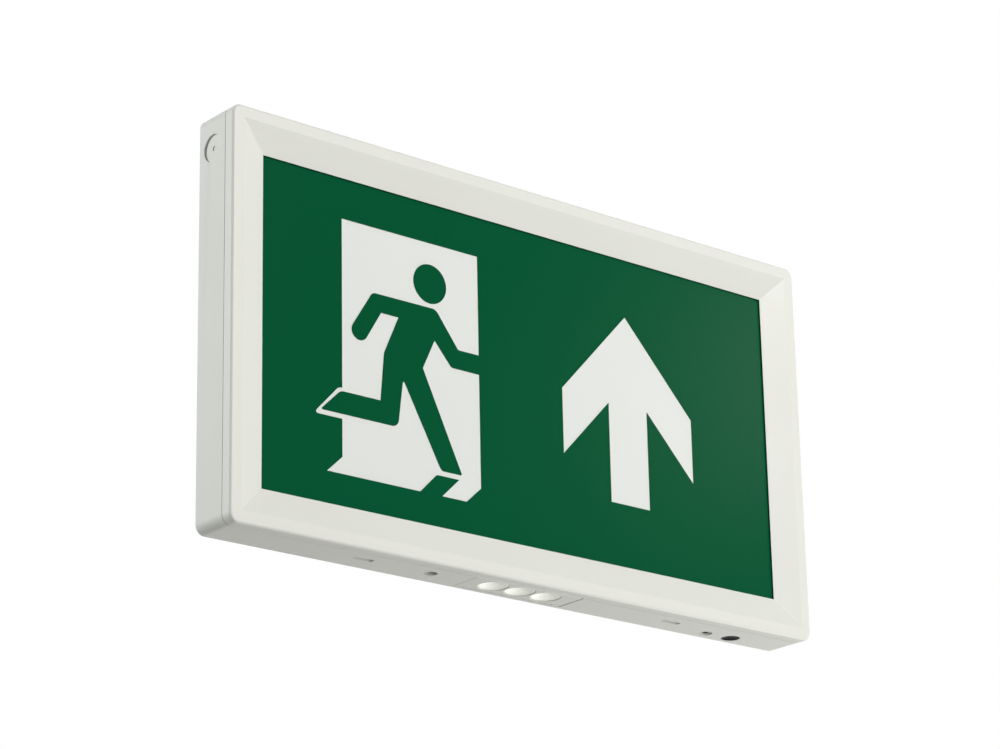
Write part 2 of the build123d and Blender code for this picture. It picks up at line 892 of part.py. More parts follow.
def downlight_lens():
    """Opal moulding: a flange inside the plate and three dishes that hang in its windows."""
    flange_depth = window_diameter + 2 * lens_flange_width
    flange = Pos(downlight_x, window_y) * SlotOverall(2 * window_pitch + flange_depth, flange_depth)
    for x, y in downlight_posts:
        flange -= Pos(x, y) * Circle(downlight_post_diameter / 2 + downlight_post_clearance)
    for x in window_places:
        flange -= Pos(x, window_y) * Circle(window_diameter / 2 - dish_clearance)
    lens = column(flange, floor_z, floor_z + lens_flange_thickness)
    dish = light_dish()
    for x in window_places:
        lens += Pos(x, window_y, 0) * dish
    return lens


def downlight_board():
    length = downlight_width - 2 * (snap_thickness + downlight_board_clearance)
    outline = RectangleRounded(length, downlight_board_depth, strip_corner_radius)
    board = column(Pos(downlight_x, window_y) * outline, downlight_board_z, downlight_top_z)
    for x, y in downlight_posts:
        hole = Circle(small_screw_diameter / 2 + screw_clearance)
        board -= column(Pos(x, y) * hole, downlight_board_z, downlight_top_z)
    return board


def downlight_leds():
    one = column(Rectangle(led_size, led_size), downlight_board_z - led_height, downlight_board_z)
    return group(Pos(x, window_y, 0) * one for x in window_places)


def downlight_screws():
    length = downlight_post_height - screw_bite
    one = screw(small_screw_diameter, length, small_screw_head_diameter, small_screw_head_height)
    return group(Pos(x, y, downlight_top_z) * Rot(-90, 0, 0) * one for x, y in downlight_posts)


def indicator_led():
    """A round lamp whose domed tip looks down through its hole."""
    radius = indicator_diameter / 2
    tip = -half_height + indicator_recess_depth
    top = tip + indicator_length
    rim = radius + indicator_rim
    seat = top - indicator_flange
    dome = [(out, tip + radius - up) for out, up in bowl(radius, radius, indicator_bands)]
    profile = polygon(*dome, (0, top), (rim, top), (rim, seat), (radius, seat))
    return Pos(indicator_x, -indicator_from_wall, 0) * turned(profile)


def test_button():
    """A dished button with a flange that keeps it behind the bottom wall."""
    low = -half_height
    outer = button_diameter / 2
    flange = button_flange_diameter / 2
    dish = [(out, low + up) for out, up in bowl(outer - button_edge, button_dish, button_bands)]
    step = [(0, button_top_z), (flange, button_top_z), (flange, button_seat_z), (outer, button_seat_z)]
    edge = [(outer, low + button_edge / 2), (outer - button_edge / 2, low)]
    return Pos(button_x, -button_from_wall, 0) * turned(polygon(*dish, *step, *edge))


def switch_plunger():
    place = Pos(button_x, -button_from_wall)
    return column(place * Rectangle(plunger_width, plunger_width), button_top_z, button_top_z + plunger_length)


def switch_housing():
    """Push switch lying on the board, open at the bottom for its plunger."""
    front = -button_from_wall - switch_size / 2
    outline = Pos(button_x, (board_front_y + front) / 2) * Rectangle(switch_size, board_front_y - front)
    housing = column(outline, switch_bottom_z, switch_bottom_z + switch_height)
    housing = chamfer(housing.edges().filter_by(Axis.Z), switch_edge)
    well_width = plunger_width + 2 * plunger_clearance
    well_top = button_top_z + plunger_length + button_travel + plunger_end_gap
    well = Pos(button_x, -button_from_wall) * Rectangle(well_width, well_width)
    return housing - column(well, switch_bottom_z, well_top)


def driver_board():
    outline = Pos(board_x, board_z) * RectangleRounded(board_length, board_height, board_corner_radius)
    board = slab(outline, board_rear_y, board_front_y)
    for x, z in board_posts:
        board -= clear_hole(x, z, small_screw_diameter)
    return board


def driver_board_screws():
    length = board_thickness + board_post_height + screw_bite - screw_fit
    one = screw(small_screw_diameter, length, small_screw_head_diameter, small_screw_head_height)
    return group(Pos(x, board_front_y, z) * one for x, z in board_posts)


def on_board(x, z, across, up, thickness):
    """A rectangular block standing on the board."""
    return slab(Pos(x, z) * Rectangle(across, up), board_front_y, board_front_y - thickness)


def transformer_core():
    """Two E-shaped ferrite halves, seen as a closed frame round the coil."""
    ring = Rectangle(transformer_width, transformer_height)
    for x in spread(2, core_middle_leg + core_window_width):
        ring -= Pos(x, 0) * Rectangle(core_window_width, core_window_height)
    return slab(Pos(transformer_x, transformer_z) * ring, core_rear_y, core_rear_y - core_depth)


def transformer_coil():
    """Bobbin and winding round the middle leg of the core, standing on the board."""
    coil_width = core_middle_leg + 2 * (core_window_width - coil_clearance)
    outline = RectangleRounded(coil_width, core_window_height - 2 * coil_clearance, coil_corner_radius)
    place = Pos(transformer_x, transformer_z)
    coil = slab(place * outline, board_front_y, board_front_y - transformer_depth)
    leg = Rectangle(core_middle_leg, transformer_height)
    return coil - slab(place * leg, core_rear_y, core_rear_y - core_depth)


def capacitor(x, diameter, length):
    """A capacitor can standing on the board in the lower row, beaded near its foot."""
    radius = diameter / 2
    bead = capacitor_bead_distance
    profile = polygon(
        (0, 0),
        (radius, 0),
        (radius, bead - capacitor_bead),
        (radius - capacitor_bead, bead),
        (radius, bead + capacitor_bead),
        (radius, length),
        (0, length),
    )
    return Pos(x, board_front_y, row_z + radius) * Rot(90, 0, 0) * turned(profile)


def choke():
    """A drum-wound choke standing on the board."""
    radius = choke_diameter / 2
    waist = radius - choke_waist
    profile = polygon(
        (0, 0),
        (radius, 0),
        (radius, choke_flange),
        (waist, choke_flange),
        (waist, choke_height - choke_flange),
        (radius, choke_height - choke_flange),
        (radius, choke_height),
        (0, choke_height),
    )
    return Pos(choke_x, board_front_y, row_z + radius) * Rot(90, 0, 0) * turned(profile)


def control_chip():
    x = board_right - control_chip_from_right
    return on_board(x, upper_row_z, control_chip_width, control_chip_height, control_chip_thickness)


def rectifier():
    x = board_right - rectifier_from_right
    return on_board(x, upper_row_z, rectifier_width, rectifier_height, rectifier_thickness)


def fuse():
    """A small cartridge fuse lying along X, with metal end caps."""
    radius = fuse_diameter / 2
    half = fuse_length / 2
    neck = half - fuse_cap_length
    profile = polygon(
        (0, -half),
        (radius, -half),
        (radius, -neck),
        (radius - fuse_cap_step, -neck),
        (radius - fuse_cap_step, neck),
        (radius, neck),
        (radius, half),
        (0, half),
    )
    place = Pos(board_right - fuse_from_right, board_front_y - radius, upper_row_z)
    return place * Rot(0, 90, 0) * turned(profile)


def way_places(z, ways):
    """Heights of the leads in a connector, from the top down."""
    return [z - connector_pitch * (way - (ways - 1) / 2) for way in range(ways)]


def connector_block(mouth_x, side, z, ways):
    """A block on the end of the board, as tall as its ways, with its mouth facing that side."""
    outline = Pos(connector_y, z) * Rectangle(connector_depth, ways * connector_pitch + connector_wall)
    return bar(outline, mouth_x - side * connector_length, mouth_x)


def lead_sockets(mouth_x, side, z, ways, diameter, depth_in):
    """Round holes for the ends of leads, going in from a mouth."""
    hole = Circle(diameter / 2 + connector_hole_clearance)
    inner_x = mouth_x - side * depth_in
    return group(bar(Pos(connector_y, way_z) * hole, inner_x, mouth_x) for way_z in way_places(z, ways))


def input_connector():
    """Takes the mains leads, at the right end of the board."""
    place = (board_right, 1, input_connector_z, 2)
    return connector_block(*place) - lead_sockets(*place, mains_lead_diameter, connector_hole_depth)


def lamp_connector():
    """Takes the leads of the downlight and the strips, at the left end of the board."""
    place = (board_left, -1, board_z, 4)
    return connector_block(*place) - lead_sockets(*place, lamp_lead_diameter, connector_hole_depth)


def battery_socket():
    """A box open to the right, for the battery's plug."""
    pocket_depth = connector_depth - 2 * connector_wall
    pocket_height = 2 * connector_pitch - connector_wall
    pocket = Pos(connector_y, battery_socket_z) * Rectangle(pocket_depth, pocket_height)
    block = connector_block(board_right, 1, battery_socket_z, 2)
    return block - bar(pocket, board_right - plug_nose_length - plug_clearance, board_right)


def battery_plug():
    """Its nose fills the socket, and its grip carries the battery leads."""
    nose_depth = connector_depth - 2 * (connector_wall + plug_clearance)
    nose_height = 2 * connector_pitch - connector_wall - 2 * plug_clearance
    place = Pos(connector_y, battery_socket_z)
    grip_left = board_right + plug_clearance
    grip_right = grip_left + plug_grip_length
    plug = bar(place * Rectangle(plug_grip_depth, plug_grip_height), grip_left, grip_right)
    plug += bar(place * Rectangle(nose_depth, nose_height), board_right - plug_nose_length, grip_right)
    return plug - lead_sockets(grip_right, 1, battery_socket_z, 2, battery_lead_diameter, plug_grip_length)


def battery_pack():
    """Three cells in one sleeve, with a neck between each two."""
    radius = cell_diameter / 2
    start = battery_right - battery_length + battery_cap_thickness
    end = start + cell_count * cell_length
    points = [(start, 0), (start, radius)]
    for place in range(1, cell_count):
        joint = start + place * cell_length
        points += [(joint - cell_neck, radius), (joint, radius - cell_neck_depth), (joint + cell_neck, radius)]
    points += [(end, radius), (end, 0)]
    return Pos(0, battery_y, battery_z) * revolve(polygon(*points), Axis.X)


def battery_end_caps():
    disc = Pos(battery_y, battery_z) * Circle(cell_diameter / 2)
    starts = (battery_right - battery_length, battery_right - battery_cap_thickness)
    return group(bar(disc, start, start + battery_cap_thickness) for start in starts)


def terminal_block():
    """A row of clamping ways, with square wire mouths above and below and a screw well in front of each."""
    profile = polygon(
        (terminal_rear_y, terminal_bottom),
        (terminal_rear_y, terminal_top),
        (terminal_front_y + terminal_shoulder, terminal_top),
        (terminal_front_y, terminal_top - terminal_shoulder),
        (terminal_front_y, terminal_bottom + terminal_shoulder),
        (terminal_front_y + terminal_shoulder, terminal_bottom),
    )
    block = bar(profile, terminal_left, terminal_left + terminal_width)
    notch = slab(Rectangle(terminal_notch, 2 * terminal_notch), terminal_rear_y, terminal_front_y)
    for place in range(1, terminal_count):
        x = terminal_left + place * terminal_pitch
        for z in (terminal_bottom, terminal_top):
            block -= Pos(x, 0, z) * notch
    for x in terminal_places:
        mouth = Pos(x, terminal_contact_y) * Rectangle(terminal_mouth, terminal_mouth)
        block -= column(mouth, terminal_bottom, terminal_top)
        well = Pos(x, terminal_z) * Circle(terminal_well_diameter / 2)
        block -= slab(well, terminal_contact_y, terminal_front_y)
    return block


def terminal_contacts():
    """The square brass cage inside each way."""
    outer = terminal_mouth - 2 * terminal_cage_fit
    inner = terminal_mouth - 2 * terminal_cage_wall
    ring = Rectangle(outer, outer) - Rectangle(inner, inner)
    one = column(ring, terminal_bottom + terminal_cage_inset, terminal_top - terminal_cage_inset)
    return group(Pos(x, terminal_contact_y, 0) * one for x in terminal_places)


def terminal_screws():
    """Slotted screws that press on the cages."""
    radius = terminal_well_diameter / 2 - terminal_screw_clearance
    head_y = terminal_front_y + terminal_screw_recess
    one = slab(Circle(radius), terminal_contact_y - terminal_mouth / 2, head_y)
    one -= slab(Rectangle(2 * radius, terminal_screw_slot_width), head_y + terminal_screw_slot_depth, head_y)
    return group(Pos(x, 0, terminal_z) * one for x in terminal_places)


def cable_clamp():
    """A bar with a shallow arch that presses the supply cable between two posts."""
    side = Pos(clamp_rear_y - clamp_thickness / 2, 0) * Rectangle(clamp_thickness, clamp_length)
    front_half = Pos(clamp_rear_y - clamp_length / 2, 0) * Rectangle(clamp_length, clamp_length)
    side += Pos(clamp_rear_y, 0) * Circle(clamp_arch_radius + clamp_arch_wall) & front_half
    side -= Pos(clamp_rear_y, 0) * Circle(clamp_arch_radius)
    solid = Pos(0, 0, grommet_z) * bar(side, clamp_x - clamp_width / 2, clamp_x + clamp_width / 2)
    for x, z in clamp_posts:
        solid -= clear_hole(x, z, screw_diameter)
    return solid


def cable_clamp_screws():
    one = screw(screw_diameter, clamp_thickness + clamp_screw_bite, screw_head_diameter, screw_head_height)
    return group(Pos(x, clamp_rear_y - clamp_thickness, z) * one for x, z in clamp_posts)


def cable_grommet():
    """A rubber ring in the rear cable entry, with a lip on the inside and a flush outside."""
    hole = grommet_hole_diameter / 2 - screw_fit
    bore = grommet_bore_diameter / 2
    place = Pos(grommet_x, grommet_z)
    ring = slab(place * Circle(hole), 0, -wall)
    ring += slab(place * Circle(hole + grommet_flange), -wall, -wall - grommet_lip)
    ring += slab(place * Circle(bore + grommet_lip), -wall, -wall - 2 * grommet_lip)
    return ring - slab(place * Circle(bore), 0, -depth / 2)


def wall_y(diameter):
    """How far out a lead of that diameter lies when it runs along the rear wall."""
    return -wall - lead_wall_gap - diameter / 2


def side_run(from_side, diameter, end_x, end_z):
    """Points of a lead down the right side, then out past the board's end and back to its connector."""
    x = half_width - from_side
    foot_x = x + side_run_sidestep
    foot_z = board_top - side_run_below_board_top
    down = [(x, wall_y(diameter), foot_z + side_run_drop), (foot_x, connector_y, foot_z)]
    return down + [(foot_x, connector_y, end_z), (end_x, connector_y, end_z)]


def mains_lead(way, from_side, from_top, connector_way):
    """From a way of the terminal block, across under the battery and down the side to the board."""
    x = terminal_places[way]
    run_z = half_height - from_top
    run_y = wall_y(mains_lead_diameter)
    start = [(x, terminal_contact_y, terminal_z), (x, terminal_contact_y, run_z + mains_lead_rise)]
    start.append((x + mains_lead_sidestep, run_y, run_z))
    corner = [(half_width - from_side, run_y, run_z)]
    end_x = board_right - connector_hole_depth + lead_end_gap
    end_z = way_places(input_connector_z, 2)[connector_way]
    run = side_run(from_side, mains_lead_diameter, end_x, end_z)
    return lead(mains_lead_diameter, mains_lead_bend, *start, *corner, *run)


def battery_lead(offset, from_side, connector_way):
    """From the end of the battery stick down the side to its plug."""
    x = half_width - from_side
    y = battery_y + offset
    start = [(battery_right + lead_end_gap, y, battery_z), (x, y, battery_z)]
    drop = [(x, wall_y(battery_lead_diameter), battery_z - battery_lead_drop)]
    end_x = board_right + plug_clearance + lead_end_gap
    end_z = way_places(battery_socket_z, 2)[connector_way]
    run = side_run(from_side, battery_lead_diameter, end_x, end_z)
    return lead(battery_lead_diameter, battery_lead_bend, *start, *drop, *run)


def lamp_lead(*points):
    return lead(lamp_lead_diameter, lamp_lead_bend, *points)


def strip_leads():
    """From the lamp connector, up behind the reflector and through it to the lower strip."""
    run_y = wall_y(lamp_lead_diameter)
    end_y = strip_face_y - lead_end_gap
    start_x = board_left + connector_hole_depth - lead_end_gap
    leads = []
    for x, z in zip(feed_columns, way_places(board_z, 4)):
        start = [(start_x, connector_y, z), (x, connector_y, z)]
        rise = [(x, run_y, z + strip_lead_rise), (x, run_y, -strip_offset), (x, end_y, -strip_offset)]
        leads.append(lamp_lead(*start, *rise))
    return group(leads)


def strip_links():
    """From the lower strip to the upper one, behind the reflector."""
    run_y = wall_y(lamp_lead_diameter)
    end_y = strip_face_y - lead_end_gap
    return group(
        lamp_lead(
            (x, end_y, -strip_offset),
            (x, run_y, -strip_offset),
            (x, run_y, strip_offset),
            (x, end_y, strip_offset),
        )
        for x in link_columns
    )


def downlight_leads():
    """From the lamp connector to the top of the downlight's board."""
    start_x = board_left + connector_hole_depth - lead_end_gap
    end_z = downlight_top_z + lead_end_gap
    leads = []
    for place, z in enumerate(reversed(way_places(board_z, 4)[2:])):
        x = downlight_right - downlight_lead_from_right - place * downlight_lead_pitch
        leads.append(lamp_lead((start_x, connector_y, z), (x, connector_y, z), (x, connector_y, end_z)))
    return group(leads)


pieces = {
    "rear_body": rear_body,
    "front_cover": front_cover,
    "legend_print": legend_print,
    "legend_panel": legend_panel,
    "reflector": reflector,
    "reflector_screws": reflector_screws,
    "led_strip_upper": lambda: led_strip(strip_offset),
    "led_strip_lower": lambda: led_strip(-strip_offset),
    "strip_leds": strip_leds,
    "strip_lenses": strip_lenses,
    "downlight_panel": downlight_panel,
    "downlight_lens": downlight_lens,
    "downlight_board": downlight_board,
    "downlight_leds": downlight_leds,
    "downlight_screws": downlight_screws,
    "indicator_led": indicator_led,
    "test_button": test_button,
    "switch_plunger": switch_plunger,
    "switch_housing": switch_housing,
    "driver_board": driver_board,
    "driver_board_screws": driver_board_screws,
    "transformer_core": transformer_core,
    "transformer_coil": transformer_coil,
    "input_capacitor": lambda: capacitor(input_capacitor_x, input_capacitor_diameter, input_capacitor_length),
    "output_capacitor": lambda: capacitor(output_capacitor_x, output_capacitor_diameter, output_capacitor_length),
    "choke": choke,
    "control_chip": control_chip,
    "rectifier": rectifier,
    "fuse": fuse,
    "input_connector": input_connector,
    "lamp_connector": lamp_connector,
    "battery_socket": battery_socket,
    "battery_plug": battery_plug,
    "battery_pack": battery_pack,
    "battery_end_caps": battery_end_caps,
    "terminal_block": terminal_block,
    "terminal_contacts": terminal_contacts,
    "terminal_screws": terminal_screws,
    "cable_clamp": cable_clamp,
    "cable_clamp_screws": cable_clamp_screws,
    "cable_grommet": cable_grommet,
    "live_lead": lambda: mains_lead(1, live_run_from_side, live_run_from_top, 0),
    "neutral_lead": lambda: mains_lead(2, neutral_run_from_side, neutral_run_from_top, 1),
    "battery_lead_red": lambda: battery_lead(battery_lead_offset, red_run_from_side, 0),
    "battery_lead_black": lambda: battery_lead(-battery_lead_offset, black_run_from_side, 1),
    "strip_leads": strip_leads,
    "strip_links": strip_links,
    "downlight_leads": downlight_leads,
}

os.makedirs("parts", exist_ok=True)
for name, make in pieces.items():
    export_step(make(), f"parts/{name}.step")
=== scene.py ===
import json
import math

import bmesh
import bpy
from mathutils import Matrix, Vector

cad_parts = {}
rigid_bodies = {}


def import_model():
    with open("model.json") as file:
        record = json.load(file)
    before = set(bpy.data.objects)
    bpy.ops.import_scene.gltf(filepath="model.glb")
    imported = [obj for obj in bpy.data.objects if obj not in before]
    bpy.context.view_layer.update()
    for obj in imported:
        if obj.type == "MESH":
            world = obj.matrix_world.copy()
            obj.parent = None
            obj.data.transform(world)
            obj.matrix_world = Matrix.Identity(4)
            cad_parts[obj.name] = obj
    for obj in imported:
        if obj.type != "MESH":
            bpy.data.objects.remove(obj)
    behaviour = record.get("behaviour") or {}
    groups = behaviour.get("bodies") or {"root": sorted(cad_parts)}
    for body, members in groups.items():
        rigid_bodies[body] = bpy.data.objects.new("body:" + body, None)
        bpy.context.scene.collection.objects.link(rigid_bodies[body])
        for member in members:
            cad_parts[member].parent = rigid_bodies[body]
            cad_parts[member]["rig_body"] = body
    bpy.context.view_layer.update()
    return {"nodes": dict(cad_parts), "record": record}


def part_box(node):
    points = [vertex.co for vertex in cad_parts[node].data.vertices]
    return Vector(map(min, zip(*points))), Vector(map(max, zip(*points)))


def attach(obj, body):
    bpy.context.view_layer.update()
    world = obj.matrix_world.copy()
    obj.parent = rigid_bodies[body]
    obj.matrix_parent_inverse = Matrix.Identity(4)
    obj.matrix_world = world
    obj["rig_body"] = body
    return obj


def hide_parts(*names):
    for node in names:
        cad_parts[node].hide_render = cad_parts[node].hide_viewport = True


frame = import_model()
nodes = frame["nodes"]
scene = bpy.context.scene
mm = 0.001
print("frame loaded,", len(nodes), "nodes")


def addObject(name, data):
    made = bpy.data.objects.new(name, data)
    scene.collection.objects.link(made)
    return made


# Camera at the place the photograph was taken from: front, left and well below the sign
cameraSetup = {
    "place": (-0.9978, -1.1926, -0.5344),
    "right": (0.77129, -0.63620, -0.01914),
    "up": (-0.19722, -0.26747, 0.94317),
    "lens": 117.29,
    "sensor": 36.0,
    "shift": (0.0008, 0.0012),
    "nearest": 0.05,
}
cameraData = bpy.data.cameras.new("viewCamera")
cameraData.lens = cameraSetup["lens"]
cameraData.sensor_width = cameraSetup["sensor"]
cameraData.shift_x, cameraData.shift_y = cameraSetup["shift"]
cameraData.clip_start = cameraSetup["nearest"]
camera = addObject("viewCamera", cameraData)
right = Vector(cameraSetup["right"]).normalized()
up = Vector(cameraSetup["up"]).normalized()
turn = Matrix((right, up, right.cross(up))).transposed()
camera.matrix_world = Matrix.Translation(cameraSetup["place"]) @ turn.to_4x4()
scene.camera = camera
scene.view_settings.view_transform = "Standard"


def areaLight(name, setup):
    data = bpy.data.lights.new(name, "AREA")
    data.shape = "RECTANGLE"
    data.size, data.size_y = setup["size"]
    data.energy = setup["power"]
    data.color = setup["colour"]
    lamp = addObject(name, data)
    lamp.location = setup["place"]
    toTarget = Vector(setup["target"]) - lamp.location
    lamp.rotation_euler = toTarget.to_track_quat("-Z", "Y").to_euler()
    lamp.visible_camera = False


# Plain soft studio light
lights = {
    "keyLight": {"place": (0.35, -1.75, 0.9), "target": (0, 0, 0), "size": (0.7, 0.9), "power": 24.5,
                 "colour": (1.0, 0.995, 0.98)},
    "frontLowLight": {"place": (0.32, -1.55, -0.75), "target": (0, 0, -0.05), "size": (0.5, 0.5), "power": 8.5,
                      "colour": (1.0, 0.995, 0.98)},
    "hazeLight": {"place": (1.75, -1.5, 0.8), "target": (0.12, 0, 0), "size": (0.28, 0.28), "power": 3.3,
                  "colour": (1.0, 1.0, 0.98)},
    "leftLight": {"place": (-1.35, 0.7, 0.4), "target": (-0.18, 0, 0), "size": (0.6, 0.6), "power": 15.0,
                  "colour": (0.98, 1.0, 0.99)},
    "lowLight": {"place": (0.5, -0.05, -0.5), "target": (0.12, 0, -0.1), "size": (0.3, 0.3), "power": 1.4,
                 "colour": (1.0, 0.99, 0.96)},
    "underLight": {"place": (0.25, 0.5, -0.8), "target": (0, 0, 0), "size": (0.6, 0.6), "power": 1.1,
                   "colour": (1.0, 1.0, 0.98)},
}
for lightName, lightSetup in lights.items():
    areaLight(lightName, lightSetup)


# Node makers for materials, the world and the geometry trees
def feed(tree, target, inputs):
    # An input that is given a socket, or a list of them, is wired to it; any other value is typed in
    for label, value in inputs.items():
        for source in value if isinstance(value, list) else [value]:
            if isinstance(source, bpy.types.NodeSocket):
                tree.links.new(source, target.inputs[label])
            else:
                target.inputs[label].default_value = source
    return target


def node(tree, kind, inputs=None, **settings):
    made = tree.nodes.new(kind)
    for setting, value in settings.items():
        setattr(made, setting, value)
    return feed(tree, made, inputs or {})


def madeBy(tree, kind, inputs=None, output=0, **settings):
    return node(tree, kind, inputs, **settings).outputs[output]


def calculated(tree, operation, *values, **settings):
    return madeBy(tree, "ShaderNodeMath", dict(enumerate(values)), operation=operation, **settings)


def blended(tree, share, first, second, **settings):
    return madeBy(tree, "ShaderNodeMix", {0: share, 6: first, 7: second}, 2, data_type="RGBA", **settings)


def newGroup(kind, name, inputs, outputs):
    tree = bpy.data.node_groups.new(name, kind + "NodeTree")
    for side, sockets in (("INPUT", inputs), ("OUTPUT", outputs)):
        for label, socketKind in sockets.items():
            tree.interface.new_socket(label, in_out=side, socket_type="NodeSocket" + socketKind)
    return tree, node(tree, "NodeGroupInput").outputs, node(tree, "NodeGroupOutput")


# White for the camera, reflections and clear plastic, and a plain grey level of light for everything else
worldSetup = {"background": (1.0, 1.0, 1.0, 1.0), "ambient": (0.11, 0.112, 0.11, 1.0), "strength": 1.0}
world = bpy.data.worlds.new("studioWorld")
scene.world = world
world.use_nodes = True
worldTree = world.node_tree
rays = node(worldTree, "ShaderNodeLightPath").outputs
seen = calculated(worldTree, "MAXIMUM", rays["Is Camera Ray"], rays["Is Glossy Ray"])
seen = calculated(worldTree, "MAXIMUM", seen, rays["Is Transmission Ray"])
feed(worldTree, worldTree.nodes["Background"], {
    "Color": blended(worldTree, seen, worldSetup["ambient"], worldSetup["background"]),
    "Strength": worldSetup["strength"]})
print("camera, lights and world made")


def objectPlace(tree):
    return madeBy(tree, "ShaderNodeTexCoord", output="Object")


def axisOf(tree, source, axis):
    return madeBy(tree, "ShaderNodeSeparateXYZ", {0: source}, axis)


def noise(tree, place, scale, detail, output="Fac"):
    return madeBy(tree, "ShaderNodeTexNoise", {"Vector": place, "Scale": scale, "Detail": detail}, output)


def rangeShare(tree, value, low, high):
    return madeBy(tree, "ShaderNodeMapRange", {"Value": value, "From Min": low, "From Max": high})


def bumped(tree, height, strength, depth):
    return madeBy(tree, "ShaderNodeBump", {"Height": height, "Strength": strength, "Distance": depth})


# Shader groups that several finishes share
def fineGrainGroup():
    # Two close colours drift over the surface, with an even grain and a slight change of gloss
    tree, given, result = newGroup(
        "Shader", "fineGrain",
        {"Colour": "Color", "Drift Colour": "Color", "Cloud Scale": "Float", "Grain Scale": "Float",
         "Roughness": "Float", "Roughness Spread": "Float"},
        {"Colour": "Color", "Roughness": "Float", "Height": "Float"})
    place = objectPlace(tree)
    cloud = noise(tree, place, given["Cloud Scale"], 3.0)
    change = calculated(tree, "MULTIPLY", calculated(tree, "SUBTRACT", cloud, 0.5), given["Roughness Spread"])
    feed(tree, result, {
        "Colour": blended(tree, rangeShare(tree, cloud, 0.35, 0.65), given["Colour"], given["Drift Colour"]),
        "Roughness": calculated(tree, "ADD", change, given["Roughness"], use_clamp=True),
        "Height": noise(tree, place, given["Grain Scale"], 2.0)})
    return tree


def settledDustGroup():
    # A faint film of dust on faces that look up, thinner where the noise is low
    tree, given, result = newGroup(
        "Shader", "settledDust", {"Colour": "Color", "Dust Colour": "Color", "Amount": "Float"}, {"Colour": "Color"})
    facingUp = axisOf(tree, madeBy(tree, "ShaderNodeNewGeometry", output="Normal"), "Z")
    patches = noise(tree, objectPlace(tree), 34.0, 5.0)
    covered = calculated(tree, "MULTIPLY", rangeShare(tree, facingUp, 0.5, 0.95), patches)
    amount = calculated(tree, "MULTIPLY", covered, given["Amount"])
    feed(tree, result, {"Colour": blended(tree, amount, given["Colour"], given["Dust Colour"])})
    return tree


fineGrain = fineGrainGroup()
settledDust = settledDustGroup()


def newMaterial(name):
    material = bpy.data.materials.new(name)
    material.use_nodes = True
    tree = material.node_tree
    return material, tree, tree.nodes["Principled BSDF"]


def rgba(colour):
    return (*colour, 1.0)


def grained(tree, colour, drift, cloud, grain, roughness, spread):
    return node(tree, "ShaderNodeGroup", {
        "Colour": rgba(colour), "Drift Colour": rgba(drift), "Cloud Scale": cloud, "Grain Scale": grain,
        "Roughness": roughness, "Roughness Spread": spread}, node_tree=fineGrain).outputs


# What a plain finish has unless its own row says otherwise
plainSetup = {"cloud": 14.0, "spread": 0.12, "bump": 0.15, "depth": 0.00005, "dust": 0.0,
              "dustColour": (0.62, 0.60, 0.55), "metallic": 0.0, "specular": 0.5, "coat": 0.0, "coatRoughness": 0.12,
              "clear": 0.0, "soft": 0.0, "softReach": (0.003, 0.003, 0.003), "glow": 0.0}


def mouldedFinish(name, colour, drift, grainScale, roughness, changes):
    setup = {**plainSetup, **changes}
    material, tree, shader = newMaterial(name)
    grain = grained(tree, colour, drift, setup["cloud"], grainScale, roughness, setup["spread"])
    base = grain["Colour"]
    if setup["dust"]:
        base = madeBy(tree, "ShaderNodeGroup", {
            "Colour": base, "Dust Colour": rgba(setup["dustColour"]), "Amount": setup["dust"]}, node_tree=settledDust)
    feed(tree, shader, {
        "Base Color": base, "Roughness": grain["Roughness"],
        "Normal": bumped(tree, grain["Height"], setup["bump"], setup["depth"]),
        "Metallic": setup["metallic"], "Specular IOR Level": setup["specular"],
        "Coat Weight": setup["coat"], "Coat Roughness": setup["coatRoughness"],
        "Transmission Weight": setup["clear"],
        "Subsurface Weight": setup["soft"], "Subsurface Radius": setup["softReach"],
        "Emission Strength": setup["glow"]})
    # Painted glow: the finish gives off light in its own colour, standing in for light falling on it
    if setup["glow"]:
        feed(tree, shader, {"Emission Color": grain["Colour"]})
    return material


